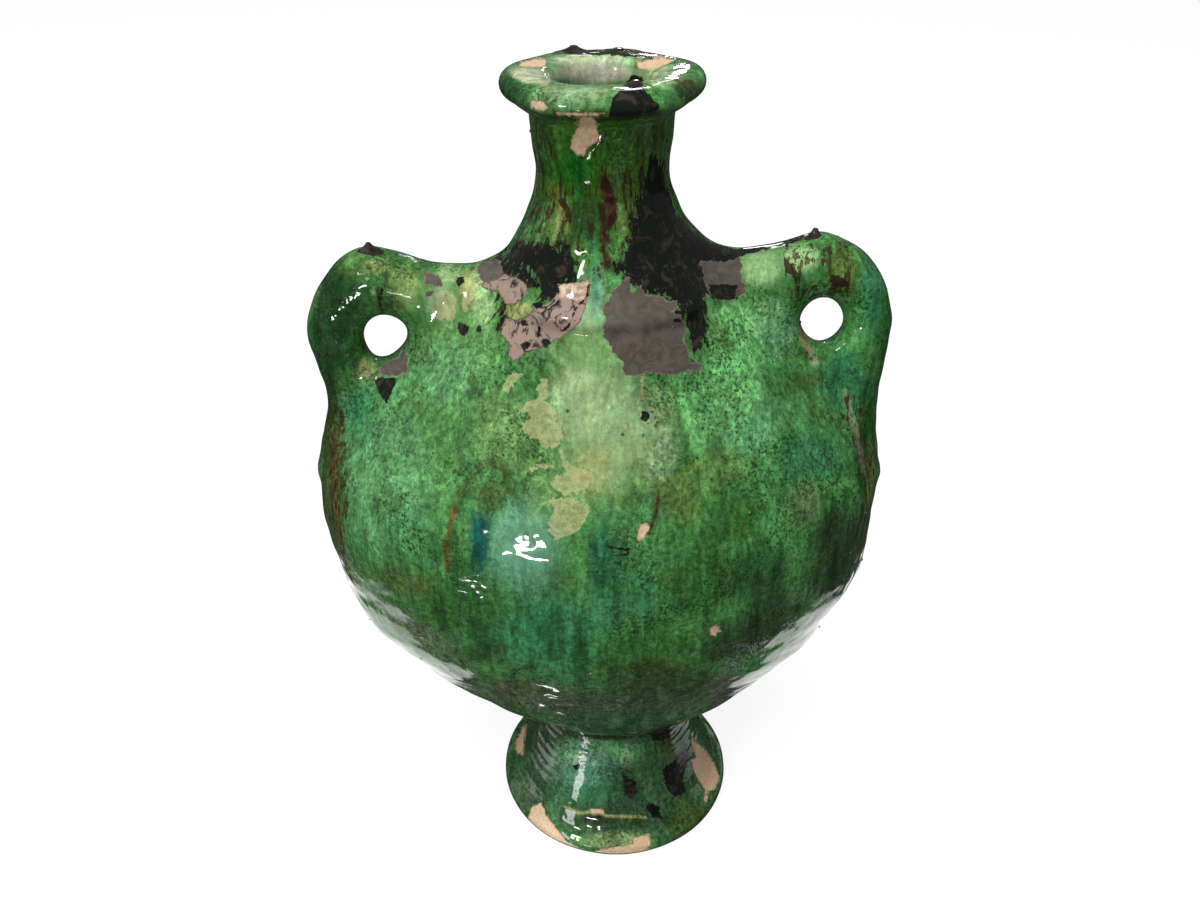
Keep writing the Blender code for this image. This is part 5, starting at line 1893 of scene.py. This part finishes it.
# Lamps: place, aim, size, power. All but the ceiling are small, and are there for their glints in the glaze
LAMPS = (
    ("ceiling", (-0.30, -0.70, 2.40), (0.0, 0.0, 0.22), (1.6, 1.6), 50.0),
    ("rim_ridge", (0.10, 1.20, 0.69), (0.0, 0.0, 0.32), (0.10, 0.08), 0.5),
    ("lug_ridge", (0.06, 1.20, 0.84), (0.0, 0.0, 0.32), (0.10, 0.06), 0.12),
    ("neck_lamp", (-0.84, -1.06, 1.04), (0.0, 0.0, 0.33), (0.13, 0.36), 4.4),
    ("belly_lamp", (-0.304, -0.80, 0.035), (-0.026, -0.076, 0.215), (0.09, 0.05), 0.8),
    ("flank_spark", (-0.132, -0.163, 0.101), (-0.057, -0.071, 0.193), (0.003, 0.003), 0.0012),
    ("foot_spark", (-0.044, -0.077, 0.019), (-0.012, -0.043, 0.034), (0.012, 0.020), 0.0060),
)

# The room's light, what the gloss shows of it and of the floor, and the floor's added white for the camera
ROOM_LIGHT = 0.38
ROOM_IN_GLOSS = 0.10
FLOOR_DIMMING = 0.85
FLOOR_LIFT = 0.86
STRIP_POWER = 1.5


class FLASK_OT_stage(bpy.types.Operator):
    """Set up the camera, the floor, the lamps and the world"""

    bl_idname = "flask.stage"
    bl_label = "Set up stage"

    def execute(self, context):
        scene = context.scene
        camera = bpy.data.objects.new("camera", bpy.data.cameras.new("camera"))
        scene.collection.objects.link(camera)
        camera.location = CAMERA_PLACE
        camera.rotation_euler = (math.pi / 2 - CAMERA_PITCH, 0.0, 0.0)
        camera.data.sensor_width = SENSOR_WIDTH
        camera.data.lens = CAMERA_FOCUS * SENSOR_WIDTH / PHOTO_WIDTH
        camera.data.clip_start = 0.01
        scene.camera = camera
        self.floor()
        for name, place, target, size, power in LAMPS:
            light = bpy.data.lights.new(name, "AREA")
            light.shape = "RECTANGLE"
            light.size, light.size_y = size
            light.energy = power
            light.color = (1.0, 0.95, 0.82) if name == "neck_lamp" else WHITE[:3]
            lamp = bpy.data.objects.new(name, light)
            scene.collection.objects.link(lamp)
            lamp.location = place
            lamp.visible_glossy = name != "ceiling"
            lamp.visible_camera = False
            aim(lamp, target)
        self.world(scene)
        scene.view_settings.view_transform = "Standard"
        return {"FINISHED"}

    def floor(self):
        """A wide pale floor, which is white where the camera looks past the flask's shadow."""
        shape = bmesh.new()
        bmesh.ops.create_circle(shape, cap_ends=True, segments=64, radius=4.0)
        floor = link("floor", mesh_of(shape, "floor"))
        material, wiring = new_material("floor")
        place = wiring.place()
        path = wiring.add("ShaderNodeLightPath")
        glossy = path.outputs["Is Glossy Ray"]
        shade = wiring.rise(wiring.noise(place, 60.0, 2.0, 0.5), 0.3, 0.7, 0.97, 1.0)
        tint = wiring.blend(shade, NO_COLOUR, (*palette()["floor"], 1.0))
        tint = wiring.blend(wiring.times(glossy, FLOOR_DIMMING), tint, NO_COLOUR)
        lift = wiring.times(path.outputs["Is Camera Ray"], FLOOR_LIFT)
        in_gloss = wiring.times(wiring.times(glossy, self.strips(wiring, place)), STRIP_POWER)
        plain = wiring.out("ShaderNodeBsdfDiffuse", {"Color": tint})
        strength = wiring.plus(lift, in_gloss)
        glow = wiring.out("ShaderNodeEmission", {"Color": WHITE, "Strength": strength})
        wiring.end("ShaderNodeOutputMaterial", wiring.out("ShaderNodeAddShader", {0: plain, 1: glow}))
        floor.data.materials.append(material)

    def strips(self, wiring, place):
        """Two ragged strips of the floor, left and right of the flask, that shine in its gloss."""
        split = wiring.add("ShaderNodeSeparateXYZ", {0: place})
        right, back = split.outputs[0], split.outputs[1]
        across = wiring.math("ABSOLUTE", right)
        streaky = wiring.noise(wiring.stretch(place, (1.0, 0.15, 1.0)), 90.0, 3.0, 0.6)
        back = wiring.plus(back, wiring.swing(streaky, 0.5, 0.06))
        back = wiring.minus(back, wiring.rise(right, -0.05, 0.05, 0.0, 0.020))
        strips = wiring.times(wiring.rise(across, 0.098, 0.108), wiring.rise(across, 0.23, 0.26, 1.0, 0.0))
        strips = wiring.times(strips, wiring.rise(back, -0.065, -0.050))
        return wiring.times(strips, wiring.rise(back, 0.14, 0.16, 1.0, 0.0))

    def world(self, scene):
        """White behind the flask, plain light on it, and a dim room in its gloss."""
        world = bpy.data.worlds.new("studio")
        world.use_nodes = True
        wiring = Wiring(world.node_tree)
        path = wiring.add("ShaderNodeLightPath")
        strength = wiring.number(path.outputs["Is Glossy Ray"], ROOM_LIGHT, ROOM_IN_GLOSS)
        strength = wiring.number(path.outputs["Is Camera Ray"], strength, 1.0)
        back = wiring.out("ShaderNodeBackground", {"Color": WHITE, "Strength": strength})
        wiring.end("ShaderNodeOutputWorld", back)
        scene.world = world


class FLASK_PT_panel(bpy.types.Panel):
    """Lists the flask's steps, sizes and colours"""

    bl_idname = "FLASK_PT_panel"
    bl_label = "Glazed flask"
    bl_space_type = "VIEW_3D"
    bl_region_type = "UI"
    bl_category = "Flask"

    def draw(self, context):
        for step in STEPS:
            self.layout.operator(step.bl_idname)
        for group in (context.scene.flask_sizes, context.scene.flask_colours):
            for name in type(group).__annotations__:
                self.layout.prop(group, name)


STEPS = (
    FLASK_OT_stage,
    FLASK_OT_skin,
    FLASK_OT_lip_and_neck,
    FLASK_OT_lugs,
    FLASK_OT_body,
    FLASK_OT_foot,
    FLASK_OT_beads,
    FLASK_OT_bubbles,
)
CLASSES = (FlaskColours, FlaskSizes, FLASK_PT_panel) + STEPS


def register():
    for item in CLASSES:
        bpy.utils.register_class(item)
    bpy.types.Scene.flask_colours = PointerProperty(type=FlaskColours)
    bpy.types.Scene.flask_sizes = PointerProperty(type=FlaskSizes)


def unregister():
    del bpy.types.Scene.flask_sizes
    del bpy.types.Scene.flask_colours
    for item in reversed(CLASSES):
        bpy.utils.unregister_class(item)


def main():
    register()
    for step in (
        bpy.ops.flask.stage,
        bpy.ops.flask.skin,
        bpy.ops.flask.lip_and_neck,
        bpy.ops.flask.lugs,
        bpy.ops.flask.body,
        bpy.ops.flask.foot,
        bpy.ops.flask.beads,
        bpy.ops.flask.bubbles,
    ):
        step()


if __name__ == "__main__":
    main()
